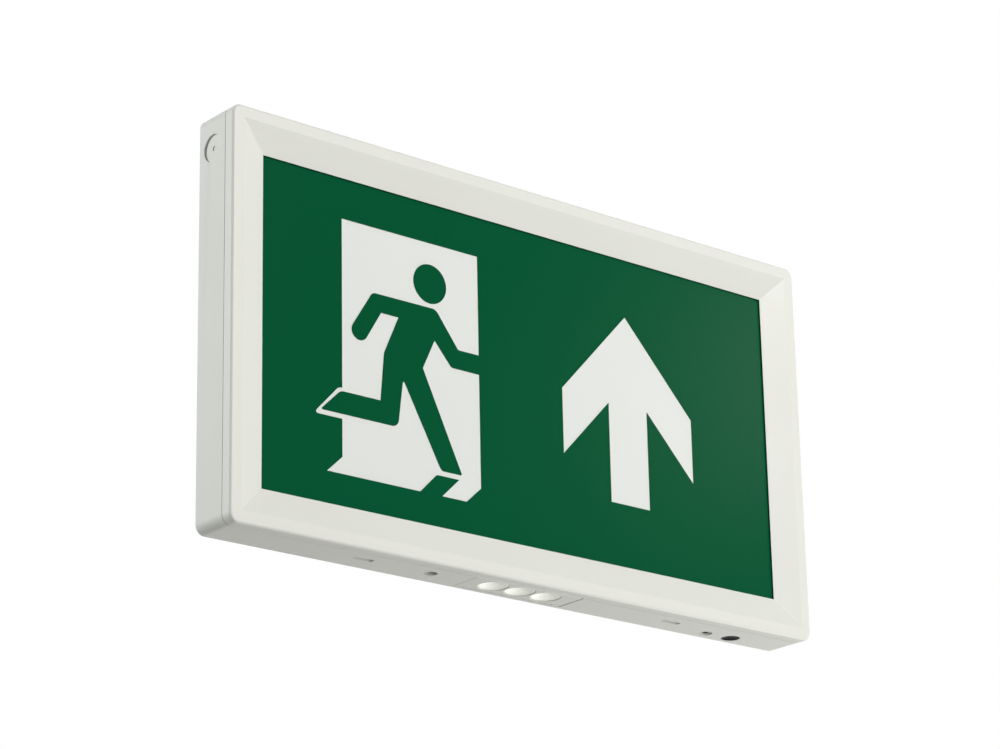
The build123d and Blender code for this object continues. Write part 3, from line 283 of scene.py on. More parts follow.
# Plain finishes: linear colour, the colour it drifts to, scale of the grain, roughness, and changes to plainSetup
finishes = {
    "coverPlastic": ((0.76, 0.765, 0.715), (0.75, 0.753, 0.70), 2600.0, 0.42, {"specular": 0.4, "dust": 0.05}),
    "housingPlastic": ((0.74, 0.755, 0.71), (0.725, 0.74, 0.69), 1900.0, 0.5,
                       {"specular": 0.4, "bump": 0.22, "dust": 0.08}),
    "reflectorWhite": ((0.86, 0.86, 0.85), (0.84, 0.84, 0.825), 700.0, 0.3, {"coat": 0.3}),
    "lightBoard": ((0.83, 0.83, 0.80), (0.79, 0.79, 0.76), 1500.0, 0.32, {"coat": 0.2}),
    "switchBlack": ((0.022, 0.022, 0.023), (0.03, 0.03, 0.031), 2400.0, 0.42, {}),
    "switchWhite": ((0.74, 0.74, 0.70), (0.70, 0.70, 0.66), 2400.0, 0.4, {}),
    "ferrite": ((0.045, 0.045, 0.05), (0.07, 0.07, 0.075), 1300.0, 0.6,
                {"cloud": 160.0, "bump": 0.5, "depth": 0.0001}),
    "chipBlack": ((0.02, 0.02, 0.021), (0.03, 0.03, 0.03), 5200.0, 0.5, {"bump": 0.4}),
    "connectorWhite": ((0.78, 0.77, 0.71), (0.74, 0.73, 0.66), 1800.0, 0.38, {"soft": 0.1}),
    "batteryCaps": ((0.03, 0.03, 0.03), (0.045, 0.045, 0.045), 2200.0, 0.45, {}),
    "terminalPlastic": ((0.70, 0.70, 0.665), (0.66, 0.66, 0.62), 1800.0, 0.42, {"soft": 0.1}),
    "clampPlastic": ((0.68, 0.68, 0.65), (0.63, 0.63, 0.60), 1500.0, 0.45, {}),
    "grommetRubber": ((0.028, 0.028, 0.03), (0.045, 0.045, 0.047), 1200.0, 0.72, {"bump": 0.4, "depth": 0.0001}),
    "wireBrown": ((0.13, 0.045, 0.017), (0.16, 0.055, 0.02), 2600.0, 0.33, {}),
    "wireBlue": ((0.02, 0.09, 0.42), (0.03, 0.11, 0.47), 2600.0, 0.33, {}),
    "wireRed": ((0.55, 0.015, 0.012), (0.6, 0.025, 0.018), 2600.0, 0.33, {}),
    "wireBlack": ((0.012, 0.012, 0.012), (0.022, 0.022, 0.022), 2600.0, 0.33, {}),
    "wireWhite": ((0.72, 0.72, 0.69), (0.66, 0.66, 0.63), 2600.0, 0.33, {}),
    "buttonBlack": ((0.012, 0.012, 0.013), (0.018, 0.018, 0.018), 900.0, 0.3,
                    {"specular": 0.08, "bump": 0.06, "spread": 0.08}),
    "indicatorLens": ((0.012, 0.016, 0.012), (0.018, 0.024, 0.018), 600.0, 0.2,
                      {"specular": 0.2, "coat": 0.05, "bump": 0.03, "spread": 0.05}),
    "legendGreen": ((0.0, 0.085, 0.030), (0.0, 0.088, 0.032), 1400.0, 0.21,
                    {"specular": 0.022, "bump": 0.05, "cloud": 6.0, "spread": 0.06}),
    "legendOpal": ((0.78, 0.80, 0.775), (0.765, 0.785, 0.76), 900.0, 0.3,
                   {"specular": 0.12, "bump": 0.04, "cloud": 6.0, "soft": 0.15}),
    # The opal bowls have a faint painted glow, which brightens them as light falling on them would
    "dishOpal": ((0.95, 0.955, 0.90), (0.93, 0.94, 0.88), 800.0, 0.5,
                 {"specular": 0.3, "bump": 0.05, "soft": 0.1, "glow": 0.15}),
    "clearLens": ((0.93, 0.95, 0.96), (0.90, 0.93, 0.945), 900.0, 0.08, {"bump": 0.03, "clear": 0.85, "spread": 0.06}),
    "steelScrews": ((0.50, 0.50, 0.49), (0.42, 0.425, 0.43), 1700.0, 0.3,
                    {"cloud": 260.0, "metallic": 1.0, "bump": 0.3, "spread": 0.3}),
    "brassContacts": ((0.55, 0.39, 0.14), (0.46, 0.31, 0.11), 1500.0, 0.32,
                      {"cloud": 200.0, "metallic": 1.0, "spread": 0.25}),
}
materials = {name: mouldedFinish(name, *row) for name, row in finishes.items()}


def circuitBoardFinish():
    # Green solder mask over copper tracks, with tinned pads
    setup = {"mask": (0.012, 0.115, 0.045), "track": (0.02, 0.17, 0.065), "pad": (0.62, 0.62, 0.60),
             "trackScale": 210.0, "trackWidth": 0.055, "padScale": 330.0, "padSize": 0.17, "cloudScale": 60.0,
             "cloudShare": 0.25, "bump": 0.3, "depth": 0.00004, "roughness": 0.26}
    material, tree, shader = newMaterial("circuitBoard")
    place = objectPlace(tree)
    tracks = node(tree, "ShaderNodeTexBrick", {
        "Vector": madeBy(tree, "ShaderNodeMapping", {"Vector": place, "Rotation": (math.pi / 2, 0, 0)}),
        "Scale": setup["trackScale"], "Color1": rgba(setup["mask"]), "Color2": rgba(setup["mask"]),
        "Mortar": rgba(setup["track"]), "Mortar Size": setup["trackWidth"],
    }, offset=0.37, offset_frequency=3, squash=0.6, squash_frequency=2).outputs
    cloud = noise(tree, place, setup["cloudScale"], 2.0, "Color")
    clouded = blended(tree, setup["cloudShare"], tracks["Color"], cloud, blend_type="MULTIPLY")
    cells = madeBy(tree, "ShaderNodeTexVoronoi", {"Vector": place, "Scale": setup["padScale"]}, "Distance")
    pads = calculated(tree, "LESS_THAN", cells, setup["padSize"])
    feed(tree, shader, {
        "Base Color": blended(tree, pads, clouded, rgba(setup["pad"])), "Metallic": pads,
        "Roughness": setup["roughness"], "Normal": bumped(tree, tracks["Fac"], setup["bump"], setup["depth"])})
    return material


def coilTapeFinish():
    # Yellow polyester tape laid round the winding in turns
    setup = {"tape": (0.62, 0.40, 0.035), "edge": (0.45, 0.27, 0.02), "pitch": 0.0026, "share": 0.86,
             "cloud": 120.0, "grain": 1800.0, "roughness": 0.3, "spread": 0.15, "bump": 0.6, "depth": 0.00012}
    material, tree, shader = newMaterial("coilTape")
    turns = calculated(tree, "DIVIDE", axisOf(tree, objectPlace(tree), "Y"), setup["pitch"])
    bands = calculated(tree, "LESS_THAN", calculated(tree, "FRACT", turns), setup["share"])
    grain = grained(tree, setup["tape"], setup["edge"], setup["cloud"], setup["grain"], setup["roughness"],
                    setup["spread"])
    feed(tree, shader, {
        "Base Color": blended(tree, bands, rgba(setup["edge"]), grain["Colour"]), "Roughness": grain["Roughness"],
        "Normal": bumped(tree, bands, setup["bump"], setup["depth"])})
    return material


def markedFinish(name, kind, setup):
    # Two finishes on one mesh: a face attribute says where the second one is. Shrunk film is wrinkled and coated
    setup = {**kind, **setup}
    material, tree, shader = newMaterial(name)
    mark = madeBy(tree, "ShaderNodeAttribute", output="Fac", attribute_name="secondFinish")
    grain = grained(tree, setup["first"], setup["drift"], setup["cloud"], setup["grain"], setup["roughness"],
                    setup["spread"])
    height = grain["Height"]
    if "wrinkle" in setup:
        stretched = madeBy(tree, "ShaderNodeMapping", {"Vector": objectPlace(tree), "Scale": setup["stretch"]})
        height = noise(tree, stretched, setup["wrinkle"], setup["detail"])
        feed(tree, shader, {"Coat Weight": setup["coat"], "Coat Roughness": setup["coatRoughness"]})
    feed(tree, shader, {
        "Base Color": blended(tree, mark, grain["Colour"], rgba(setup["second"])),
        "Metallic": calculated(tree, "MULTIPLY", mark, setup["secondMetal"]), "Roughness": grain["Roughness"],
        "Normal": bumped(tree, height, setup["bump"], setup["depth"])})
    return material


# Shrunk film, and small two-part pieces
filmKind = {"grain": 900.0, "spread": 0.1, "bump": 0.35, "depth": 0.0003, "secondMetal": 1.0, "detail": 4.0,
            "coat": 0.35, "coatRoughness": 0.1}
smallKind = {"grain": 2400.0, "spread": 0.1, "bump": 0.15, "depth": 0.00004, "cloud": 220.0}
markedFinishes = {
    "batterySleeve": (filmKind, {
        "first": (0.74, 0.50, 0.03), "drift": (0.70, 0.46, 0.025), "cloud": 30.0, "roughness": 0.3,
        "wrinkle": 60.0, "stretch": (1.0, 5.0, 5.0), "second": (0.6, 0.6, 0.6)}),
    "capacitorSleeve": (filmKind, {
        "first": (0.012, 0.016, 0.06), "drift": (0.018, 0.022, 0.08), "cloud": 90.0, "roughness": 0.28,
        "wrinkle": 120.0, "stretch": (4.0, 1.0, 4.0), "second": (0.62, 0.62, 0.61)}),
    "lightSource": (smallKind, {"first": (0.80, 0.80, 0.76), "drift": (0.76, 0.76, 0.72),
                                "second": (0.80, 0.55, 0.10), "secondMetal": 0.0, "roughness": 0.32}),
    "fuseGlass": (smallKind, {"first": (0.66, 0.64, 0.58), "drift": (0.60, 0.585, 0.53),
                              "second": (0.60, 0.60, 0.58), "secondMetal": 1.0, "roughness": 0.22}),
    "boardParts": (smallKind, {"first": (0.03, 0.028, 0.027), "drift": (0.05, 0.045, 0.04),
                               "second": (0.58, 0.58, 0.56), "secondMetal": 1.0, "roughness": 0.36}),
    "chokeCopper": (smallKind, {"first": (0.045, 0.045, 0.05), "drift": (0.075, 0.075, 0.08),
                                "second": (0.50, 0.17, 0.055), "secondMetal": 0.85, "roughness": 0.34}),
}
materials.update({name: markedFinish(name, *rows) for name, rows in markedFinishes.items()})
materials["circuitBoard"] = circuitBoardFinish()
materials["coilTape"] = coilTapeFinish()
print("finishes made,", len(materials), "materials")

slotOf = {part["node"]: part["material_slot"] for part in frame["record"]["subparts"]}


def finishOf(nodeName, named=None):
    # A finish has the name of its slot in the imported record, written as one word, unless another is named
    first, *others = slotOf[nodeName].split("_")
    return materials[named or first + "".join(word.capitalize() for word in others)]


for nodeName, cadObject in nodes.items():
    if cadObject.material_slots:
        for place in cadObject.material_slots:
            place.material = finishOf(nodeName)
    else:
        cadObject.data.materials.append(finishOf(nodeName))
print("finishes put on the packed nodes")


# Small makers that the pieces share
def finishPiece(piece, like, finish=None, angle=40.0, hides=True):
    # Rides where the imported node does, takes its slot, and stands for it unless hides is False
    mesh = piece.data
    mesh.materials.clear()
    mesh.materials.append(finishOf(like, finish))
    mesh.polygons.foreach_set("material_index", [0] * len(mesh.polygons))
    mesh.polygons.foreach_set("use_smooth", [True] * len(mesh.polygons))
    mesh.set_sharp_from_angle(angle=math.radians(angle))
    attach(piece, nodes[like]["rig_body"])
    if hides:
        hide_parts(like)
    return piece


def meshFrom(shape, name):
    mesh = bpy.data.meshes.new(name)
    shape.to_mesh(mesh)
    shape.free()
    return mesh


def mergedShape(nodeName):
    shape = bmesh.new()
    shape.from_mesh(nodes[nodeName].data)
    bmesh.ops.remove_doubles(shape, verts=shape.verts, dist=1e-6)
    return shape


def ringOf(radius, segments):
    angles = [math.tau * step / segments for step in range(segments)]
    return [(radius * math.cos(angle), radius * math.sin(angle)) for angle in angles]


def turnedMesh(name, profile, segments=64):
    # The profile, in millimetres out and along, goes from the axis out and back to it, and is turned about Z
    shape = bmesh.new()
    rings = []
    for out, along in profile:
        around = ringOf(out * mm, segments) if out else [(0, 0)]
        rings.append([shape.verts.new((x, y, along * mm)) for x, y in around])
    for lower, upper in zip(rings, rings[1:]):
        for step in range(segments):
            following = (step + 1) % segments
            if len(lower) == 1 and len(upper) > 1:
                shape.faces.new((lower[0], upper[step], upper[following]))
            elif len(upper) == 1 and len(lower) > 1:
                shape.faces.new((lower[step], upper[0], lower[following]))
            elif len(lower) > 1:
                shape.faces.new((lower[step], upper[step], upper[following], lower[following]))
    bmesh.ops.recalc_face_normals(shape, faces=shape.faces)
    return meshFrom(shape, name)


def softened(nodeName, pieceName, width, segments=2, edgeAngle=14.0, flatAngle=0.6):
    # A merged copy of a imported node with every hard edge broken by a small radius
    shape = mergedShape(nodeName)
    bmesh.ops.dissolve_limit(shape, angle_limit=math.radians(flatAngle), verts=shape.verts, edges=shape.edges)
    piece = addObject(pieceName, meshFrom(shape, pieceName))
    edges = piece.modifiers.new("softEdges", "BEVEL")
    edges.width = width
    edges.segments = segments
    edges.limit_method = "ANGLE"
    edges.angle_limit = math.radians(edgeAngle)
    edges.use_clamp_overlap = True
    edges.harden_normals = True
    return finishPiece(piece, nodeName, angle=edgeAngle)


# Moulded, cut and pressed pieces: each node's piece, and the width of its broken edges in millimetres
softEdges = {
    "front_cover": {"piece": "cover_frame", "width": 0.25},
    "rear_body": {"piece": "body_shell", "width": 0.2},
    "downlight_panel": {"piece": "downlight_plate", "width": 0.2},
    "legend_panel": {"piece": "opal_sheet", "width": 0.15},
    "reflector": {"piece": "formed_tray", "width": 0.3},
    "terminal_block": {"piece": "terminal_body", "width": 0.25},
    "terminal_contacts": {"piece": "contact_bars", "width": 0.1},
    "cable_clamp": {"piece": "clamp_bar", "width": 0.35},
    "cable_grommet": {"piece": "entry_grommet", "width": 0.3},
    "battery_end_caps": {"piece": "cell_ends", "width": 0.25},
    "battery_socket": {"piece": "battery_header", "width": 0.15},
    "battery_plug": {"piece": "battery_shell", "width": 0.15},
    "input_connector": {"piece": "input_header", "width": 0.15},
    "lamp_connector": {"piece": "lamp_header", "width": 0.15},
    "switch_housing": {"piece": "switch_case", "width": 0.2},
    "switch_plunger": {"piece": "switch_stem", "width": 0.15},
    "transformer_core": {"piece": "core_halves", "width": 0.25},
    "transformer_coil": {"piece": "taped_coil", "width": 0.4},
    "rectifier": {"piece": "bridge_chip", "width": 0.2},
    "driver_board": {"piece": "driver_sheet", "width": 0.06},
    "downlight_board": {"piece": "downlight_sheet", "width": 0.06},
    "led_strip_upper": {"piece": "upper_strip", "width": 0.06},
    "led_strip_lower": {"piece": "lower_strip", "width": 0.06},
}
for nodeName, setup in softEdges.items():
    softened(nodeName, setup["piece"], setup["width"] * mm)
print("moulded, cut and pressed pieces made")


# Geometry Nodes trees for what repeats, and how many sides their round shapes have
sides = {"head": 36, "headRings": 20, "shank": 24, "well": 28, "turn": 32, "wire": 8}


def geometryTree(name, inputs):
    return newGroup("Geometry", name, inputs, {"Geometry": "Geometry"})


def shapeTree(name, *measures):
    return geometryTree(name, dict.fromkeys(measures, "Float"))


def vectorOf(tree, **parts):
    return madeBy(tree, "ShaderNodeCombineXYZ", parts)


def moved(tree, geometry, **places):
    return madeBy(tree, "GeometryNodeTransform", {"Geometry": geometry, **places})


def cube(tree, size, place):
    return moved(tree, madeBy(tree, "GeometryNodeMeshCube", {"Size": size}), Translation=place)


def cylinder(tree, use, radius, depth, place):
    made = madeBy(tree, "GeometryNodeMeshCylinder", {"Vertices": sides[use], "Radius": radius, "Depth": depth})
    return moved(tree, made, Translation=place)


def marked(tree, geometry, value):
    return madeBy(tree, "GeometryNodeStoreNamedAttribute", {
        "Name": "secondFinish", "Value": value, "Geometry": geometry}, data_type="FLOAT", domain="FACE")


def joined(tree, *parts):
    return madeBy(tree, "GeometryNodeJoinGeometry", {0: list(parts)})


def cutBy(tree, geometry, *cutters):
    return madeBy(tree, "GeometryNodeMeshBoolean", {"Mesh 1": geometry, "Mesh 2": list(cutters)},
                  operation="DIFFERENCE")


def copiesTree():
    # Copies in rows: a step along each row and one from row to row, with a share of them left out by a fixed seed
    tree, given, result = geometryTree("copiesInRows", {
        "Geometry": "Geometry", "Start": "Vector", "Step": "Vector", "Count": "Int", "Row Step": "Vector",
        "Rows": "Int", "Share": "Float", "Seed": "Int", "Material": "Material"})
    row = madeBy(tree, "GeometryNodeMeshLine", {
        "Start Location": given["Start"], "Offset": given["Step"], "Count": given["Count"]}, mode="OFFSET")
    rows = madeBy(tree, "GeometryNodeMeshLine", {"Offset": given["Row Step"], "Count": given["Rows"]}, mode="OFFSET")
    spread = madeBy(tree, "GeometryNodeInstanceOnPoints", {"Points": rows, "Instance": row})
    points = madeBy(tree, "GeometryNodeRealizeInstances", {"Geometry": spread})
    kept = madeBy(tree, "FunctionNodeRandomValue", {"Probability": given["Share"], "Seed": given["Seed"]}, 3,
                  data_type="BOOLEAN")
    copies = madeBy(tree, "GeometryNodeInstanceOnPoints", {
        "Points": points, "Selection": kept, "Instance": given["Geometry"]})
    solid = madeBy(tree, "GeometryNodeRealizeInstances", {"Geometry": copies})
    painted = madeBy(tree, "GeometryNodeSetMaterial", {"Geometry": solid, "Material": given["Material"]})
    feed(tree, result, {"Geometry": painted})
    return tree


def screwTree():
    # Domed head on the origin with a cross recess, and a shank below it
    tree, given, result = shapeTree("crossScrew", "Head Radius", "Head Height", "Shank Radius", "Shank Length",
                                    "Recess Length", "Recess Width", "Recess Depth")
    ball = madeBy(tree, "GeometryNodeMeshUVSphere", {
        "Segments": sides["head"], "Rings": sides["headRings"], "Radius": 1.0})
    dome = moved(tree, cutBy(tree, ball, cube(tree, (4, 4, 2), (0, 0, -1))),
                 Scale=vectorOf(tree, X=given["Head Radius"], Y=given["Head Radius"], Z=given["Head Height"]))
    height = vectorOf(tree, Z=given["Head Height"])
    depth = calculated(tree, "MULTIPLY", given["Recess Depth"], 2.0)
    width, length = given["Recess Width"], given["Recess Length"]
    slots = [cube(tree, vectorOf(tree, X=x, Y=y, Z=depth), height) for x, y in ((width, length), (length, width))]
    middle = vectorOf(tree, Z=calculated(tree, "MULTIPLY", given["Shank Length"], -0.5))
    shank = cylinder(tree, "shank", given["Shank Radius"], given["Shank Length"], middle)
    feed(tree, result, {"Geometry": joined(tree, cutBy(tree, dome, *slots), shank)})
    return tree


def lampChipTree():
    # Square package on the origin with a round well, and the yellow fill in the well
    tree, given, result = shapeTree("lampChipShape", "Side", "Height", "Well Radius", "Well Depth")
    height, radius, depth = given["Height"], given["Well Radius"], given["Well Depth"]
    body = cube(tree, vectorOf(tree, X=given["Side"], Y=given["Side"], Z=height),
                vectorOf(tree, Z=calculated(tree, "MULTIPLY", height, 0.5)))
    well = cylinder(tree, "well", radius, calculated(tree, "MULTIPLY", depth, 2.0), vectorOf(tree, Z=height))
    fill = cylinder(tree, "well", radius, depth, vectorOf(tree, Z=calculated(tree, "SUBTRACT", height, depth)))
    feed(tree, result, {"Geometry": joined(tree, marked(tree, cutBy(tree, body, well), 0.0), marked(tree, fill, 1.0))})
    return tree


def windingTree():
    # Round wire wound in one close layer
    tree, given, result = shapeTree("closeWinding", "Turns", "Radius", "Length", "Wire Radius", "Lift")
    helix = madeBy(tree, "GeometryNodeCurveSpiral", {
        "Resolution": sides["turn"], "Rotations": given["Turns"], "Height": given["Length"],
        "Start Radius": given["Radius"], "End Radius": given["Radius"]})
    section = madeBy(tree, "GeometryNodeCurvePrimitiveCircle", {
        "Resolution": sides["wire"], "Radius": given["Wire Radius"]}, mode="RADIUS")
    wound = madeBy(tree, "GeometryNodeCurveToMesh", {"Curve": helix, "Profile Curve": section, "Fill Caps": True})
    lifted = moved(tree, wound, Translation=vectorOf(tree, Z=given["Lift"]))
    feed(tree, result, {"Geometry": marked(tree, lifted, 1.0)})
    return tree


copiesInRows = copiesTree()
crossScrew = screwTree()
lampChipShape = lampChipTree()
closeWinding = windingTree()


def treeMesh(name, tree, values, base=None):
    # Runs a tree on a base mesh and keeps what it makes as a plain mesh
    holder = addObject(name, base or bpy.data.meshes.new(name))
    stage = holder.modifiers.new(name, "NODES")
    stage.node_group = tree
    for item in tree.interface.items_tree:
        if item.in_out == "INPUT" and item.name in values:
            stage[item.identifier] = values[item.name]
    mesh = bpy.data.meshes.new_from_object(holder.evaluated_get(bpy.context.evaluated_depsgraph_get()))
    holder.modifiers.clear()
    bpy.data.objects.remove(holder)
    return mesh


def copiesOf(base, name, like, start, step=(0, 0, 0), count=1, rowStep=(0, 0, 0), rows=1, share=1.0, seed=1,
             finish=None, hides=True, angle=35.0):
    mesh = treeMesh(name + "Copies", copiesInRows, {
        "Start": start, "Step": step, "Count": count, "Row Step": rowStep, "Rows": rows, "Share": share, "Seed": seed,
        "Material": finishOf(like, finish)}, base)
    return finishPiece(addObject(name, mesh), like, finish, angle, hides)


facing = {
    "front": Matrix.Rotation(math.pi / 2, 4, "X"),
    "up": Matrix.Identity(4),
    "down": Matrix.Rotation(math.pi, 4, "X"),
    "right": Matrix.Rotation(math.pi / 2, 4, "Y"),
}

# Screws: head radius and height, shank radius, and the length, width and depth of the recess
largeScrew = {"head": (2.9, 1.8), "shank": 1.4, "recess": (3.3, 0.7, 1.1)}
smallScrew = {"head": (2.1, 1.4), "shank": 1.0, "recess": (2.4, 0.5, 0.85)}
screwSets = {
    "reflector_screws": {"piece": "tray_screws", **largeScrew, "count": (2, 2), "faces": "front"},
    "driver_board_screws": {"piece": "driver_screws", **smallScrew, "count": (2, 2), "faces": "front"},
    "cable_clamp_screws": {"piece": "clamp_screws", **largeScrew, "count": (1, 2), "faces": "front"},
    "terminal_screws": {"piece": "terminal_heads", "head": (2.1, 0.8), "shank": 1.95, "recess": (2.9, 0.55, 0.6),
                        "count": (4, 1), "faces": "front"},
    "downlight_screws": {"piece": "plate_screws", **smallScrew, "count": (2, 1), "faces": "up"},
}
for nodeName, setup in screwSets.items():
    low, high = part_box(nodeName)
    radius, height = (value * mm for value in setup["head"])
    length, width, depth = (value * mm for value in setup["recess"])
    across, rows = setup["count"]
    if setup["faces"] == "front":
        shankLength = high[1] - low[1] - height
        start = (low[0] + radius, low[1] + height, low[2] + radius)
        step = ((high[0] - low[0] - 2 * radius) / max(across - 1, 1), 0, 0)
        rowStep = (0, 0, (high[2] - low[2] - 2 * radius) / max(rows - 1, 1))
    else:
        shankLength = high[2] - low[2] - height
        start = (low[0] + radius, high[1] - radius, high[2] - height)
        step = (high[0] - low[0] - 2 * radius, low[1] - high[1] + 2 * radius, 0)
        rowStep = (0, 0, 0)
    screw = treeMesh(setup["piece"] + "Shape", crossScrew, {
        "Head Radius": radius, "Head Height": height, "Shank Radius": setup["shank"] * mm,
        "Shank Length": shankLength, "Recess Length": length, "Recess Width": width, "Recess Depth": depth})
    screw.transform(facing[setup["faces"]])
    copiesOf(screw, setup["piece"], nodeName, start, step, across, rowStep, rows)
print("screws made")


def seatOf(nodeName, axis, end):
    # The middle of a node's box, moved to one end of an axis, and the box's size in millimetres
    low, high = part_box(nodeName)
    place = [(least + most) / 2 for least, most in zip(low, high)]
    place["xyz".index(axis)] = {"low": low, "high": high}[end]["xyz".index(axis)]
    return place, [(most - least) / mm for least, most in zip(low, high)]


def turnedPiece(name, like, profile, place, faces, second=None):
    # Profile in millimetres as distance out and height; second says by height where the other finish starts and ends
    mesh = turnedMesh(name, profile)
    if second:
        mark = mesh.attributes.new("secondFinish", "FLOAT", "FACE")
        inside = [any(low * mm <= face.center.z <= high * mm for low, high in second) for face in mesh.polygons]
        mark.data.foreach_set("value", [float(value) for value in inside])
    mesh.transform(Matrix.Translation(place) @ facing[faces])
    return finishPiece(addObject(name, mesh), like)


def bothEnds(end, length, between=()):
    # A profile whose far end is the near end turned round
    return [*end, *between, *((out, length - along) for out, along in reversed(end))]


# Light chips and their lenses on the two strips
stripSetup = {"side": 3.2, "well": 1.2, "wellDepth": 0.25, "columns": 5, "rows": 2, "lensSegments": 40,
              "lensProfile": [(0, 3.75), (1.4, 3.9), (2.6, 4.28), (3.3, 4.4), (3.9, 4.3), (4.6, 3.8), (5.2, 3.0),
                              (5.65, 2.0), (5.85, 1.1), (6.0, 0.8), (6.0, 0.0), (2.5, 0.0), (2.45, 1.0), (1.9, 1.6),
                              (1.0, 1.95), (0, 2.05)]}
chipHalf = stripSetup["side"] * mm / 2


def lampChip(name, height, faces):
    chip = treeMesh(name, lampChipShape, {
        "Side": 2 * chipHalf, "Height": height, "Well Radius": stripSetup["well"] * mm,
        "Well Depth": stripSetup["wellDepth"] * mm})
    chip.transform(facing[faces])
    return chip


ledLow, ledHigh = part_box("strip_leds")
columnStep = ((ledHigh[0] - ledLow[0] - 2 * chipHalf) / (stripSetup["columns"] - 1), 0, 0)
stripPlaces = ((ledLow[0] + chipHalf, ledHigh[1], ledLow[2] + chipHalf), columnStep, stripSetup["columns"],
               (0, 0, ledHigh[2] - ledLow[2] - 2 * chipHalf), stripSetup["rows"])
chip = lampChip("stripChipShape", ledHigh[1] - ledLow[1], "front")
copiesOf(chip, "strip_chips", "strip_leds", *stripPlaces)
lens = turnedMesh("stripLensShape", stripSetup["lensProfile"], stripSetup["lensSegments"])
lens.transform(facing["front"])
copiesOf(lens, "strip_domes", "strip_lenses", *stripPlaces, angle=50.0)

# Light chips of the downlight
spotLow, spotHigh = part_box("downlight_leds")
spotSetup = {"count": 3, "rimRadius": 7.8, "bowlRadius": 6.95, "rise": 4.2, "wall": 1.0, "flange": 1.0,
             "flangeLift": 1.7, "holeRadius": 7.5, "underSteps": 14, "topSteps": 6, "segments": 72,
             "holeSegments": 48}
spotStep = ((spotHigh[0] - spotLow[0] - 2 * chipHalf) / (spotSetup["count"] - 1), 0, 0)
spotMiddle = (spotLow[1] + spotHigh[1]) / 2
copiesOf(lampChip("spotChipShape", spotHigh[2] - spotLow[2], "down"), "downlight_chips", "downlight_leds",
         (spotLow[0] + chipHalf, spotMiddle, spotHigh[2]), spotStep, spotSetup["count"])


def bowlProfile(setup):
    # From the middle of the underside out over the rim, up the skirt and back over the top, in millimetres
    chord, rise, rim = setup["bowlRadius"], setup["rise"], setup["rimRadius"]
    ball = (chord ** 2 + rise ** 2) / (2 * rise)
    crown = ball + setup["wall"]
    flangeTop = setup["flangeLift"] + setup["flange"]
    widest = math.asin(chord / ball)
    top = math.acos(1 - (rise + setup["wall"] - flangeTop) / crown)

    def arc(radius, peak, angle):
        return (radius * math.sin(angle), peak - radius * (1 - math.cos(angle)))

    under = [arc(ball, rise, widest * n / setup["underSteps"]) for n in range(setup["underSteps"])]
    over = [arc(crown, rise + setup["wall"], top * n / setup["topSteps"]) for n in range(setup["topSteps"], -1, -1)]
    lip = [(chord + 0.12, 0.0), (rim - 0.25, 0.0), (rim - 0.07, 0.07), (rim, 0.25), (rim, flangeTop)]
    return under + lip + over


# Three opal bowls, joined by a flange above the plate
lensLow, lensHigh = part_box("downlight_lens")
bowl = turnedMesh("bowlShape", bowlProfile(spotSetup), spotSetup["segments"])
firstBowl = (spotLow[0] + chipHalf, spotMiddle, lensLow[2])
copiesOf(bowl, "opal_bowls", "downlight_lens", firstBowl, spotStep, spotSetup["count"], angle=50.0)


def flangeMesh(low, high, holes, radius, segments):
    # A flat plate with round holes, filled as one face and then given its thickness
    shape = bmesh.new()
    loops = [[(low[0], low[1]), (high[0], low[1]), (high[0], high[1]), (low[0], high[1])]]
    loops += [[(x + out, y + along) for out, along in ringOf(radius, segments)] for x, y in holes]
    edges = []
    for loop in loops:
        corners = [shape.verts.new((x, y, low[2])) for x, y in loop]
        edges += [shape.edges.new((corner, corners[(n + 1) % len(corners)])) for n, corner in enumerate(corners)]
    bmesh.ops.triangle_fill(shape, use_beauty=True, use_dissolve=False, edges=edges)
    upper = {corner: shape.verts.new((*corner.co.xy, high[2])) for corner in list(shape.verts)}
    for face in list(shape.faces):
        shape.faces.new([upper[corner] for corner in face.verts])
    for first, second in [edge.verts for edge in edges]:
        shape.faces.new((first, second, upper[second], upper[first]))
    bmesh.ops.recalc_face_normals(shape, faces=shape.faces)
    return meshFrom(shape, "flange")


flangeLow = (lensLow[0], lensLow[1], lensLow[2] + spotSetup["flangeLift"] * mm)
flangeHigh = (lensHigh[0], lensHigh[1], flangeLow[2] + spotSetup["flange"] * mm)
bowlPlaces = [(firstBowl[0] + n * spotStep[0], spotMiddle) for n in range(spotSetup["count"])]
lensFlange = flangeMesh(flangeLow, flangeHigh, bowlPlaces, spotSetup["holeRadius"] * mm, spotSetup["holeSegments"])
finishPiece(addObject("lens_flange", lensFlange), "downlight_lens")
print("light chips, lenses and opal bowls made")

# Button with a shallow dish, and the indicator's dome
topProfiles = {
    "test_button": {"piece": "dished_button", "profile": [
        (0, 3.0), (1.2, 3.02), (2.4, 3.1), (3.4, 3.26), (3.95, 3.42), (4.25, 3.5), (4.5, 3.45), (4.68, 3.3),
        (4.75, 3.1), (4.75, 0.72), (4.85, 0.65), (5.3, 0.62), (5.4, 0.52), (5.4, 0), (0, 0)]},
    "indicator_led": {"piece": "indicator_dome", "profile": [
        (0, 5.9), (0.7, 5.85), (1.3, 5.65), (1.75, 5.3), (2.05, 4.8), (2.2, 4.2), (2.25, 3.4), (2.25, 1.0),
        (2.75, 0.95), (2.9, 0.8), (2.9, 0), (0, 0)]},
}
for nodeName, setup in topProfiles.items():
    turnedPiece(setup["piece"], nodeName, setup["profile"], seatOf(nodeName, "z", "high")[0], "down")


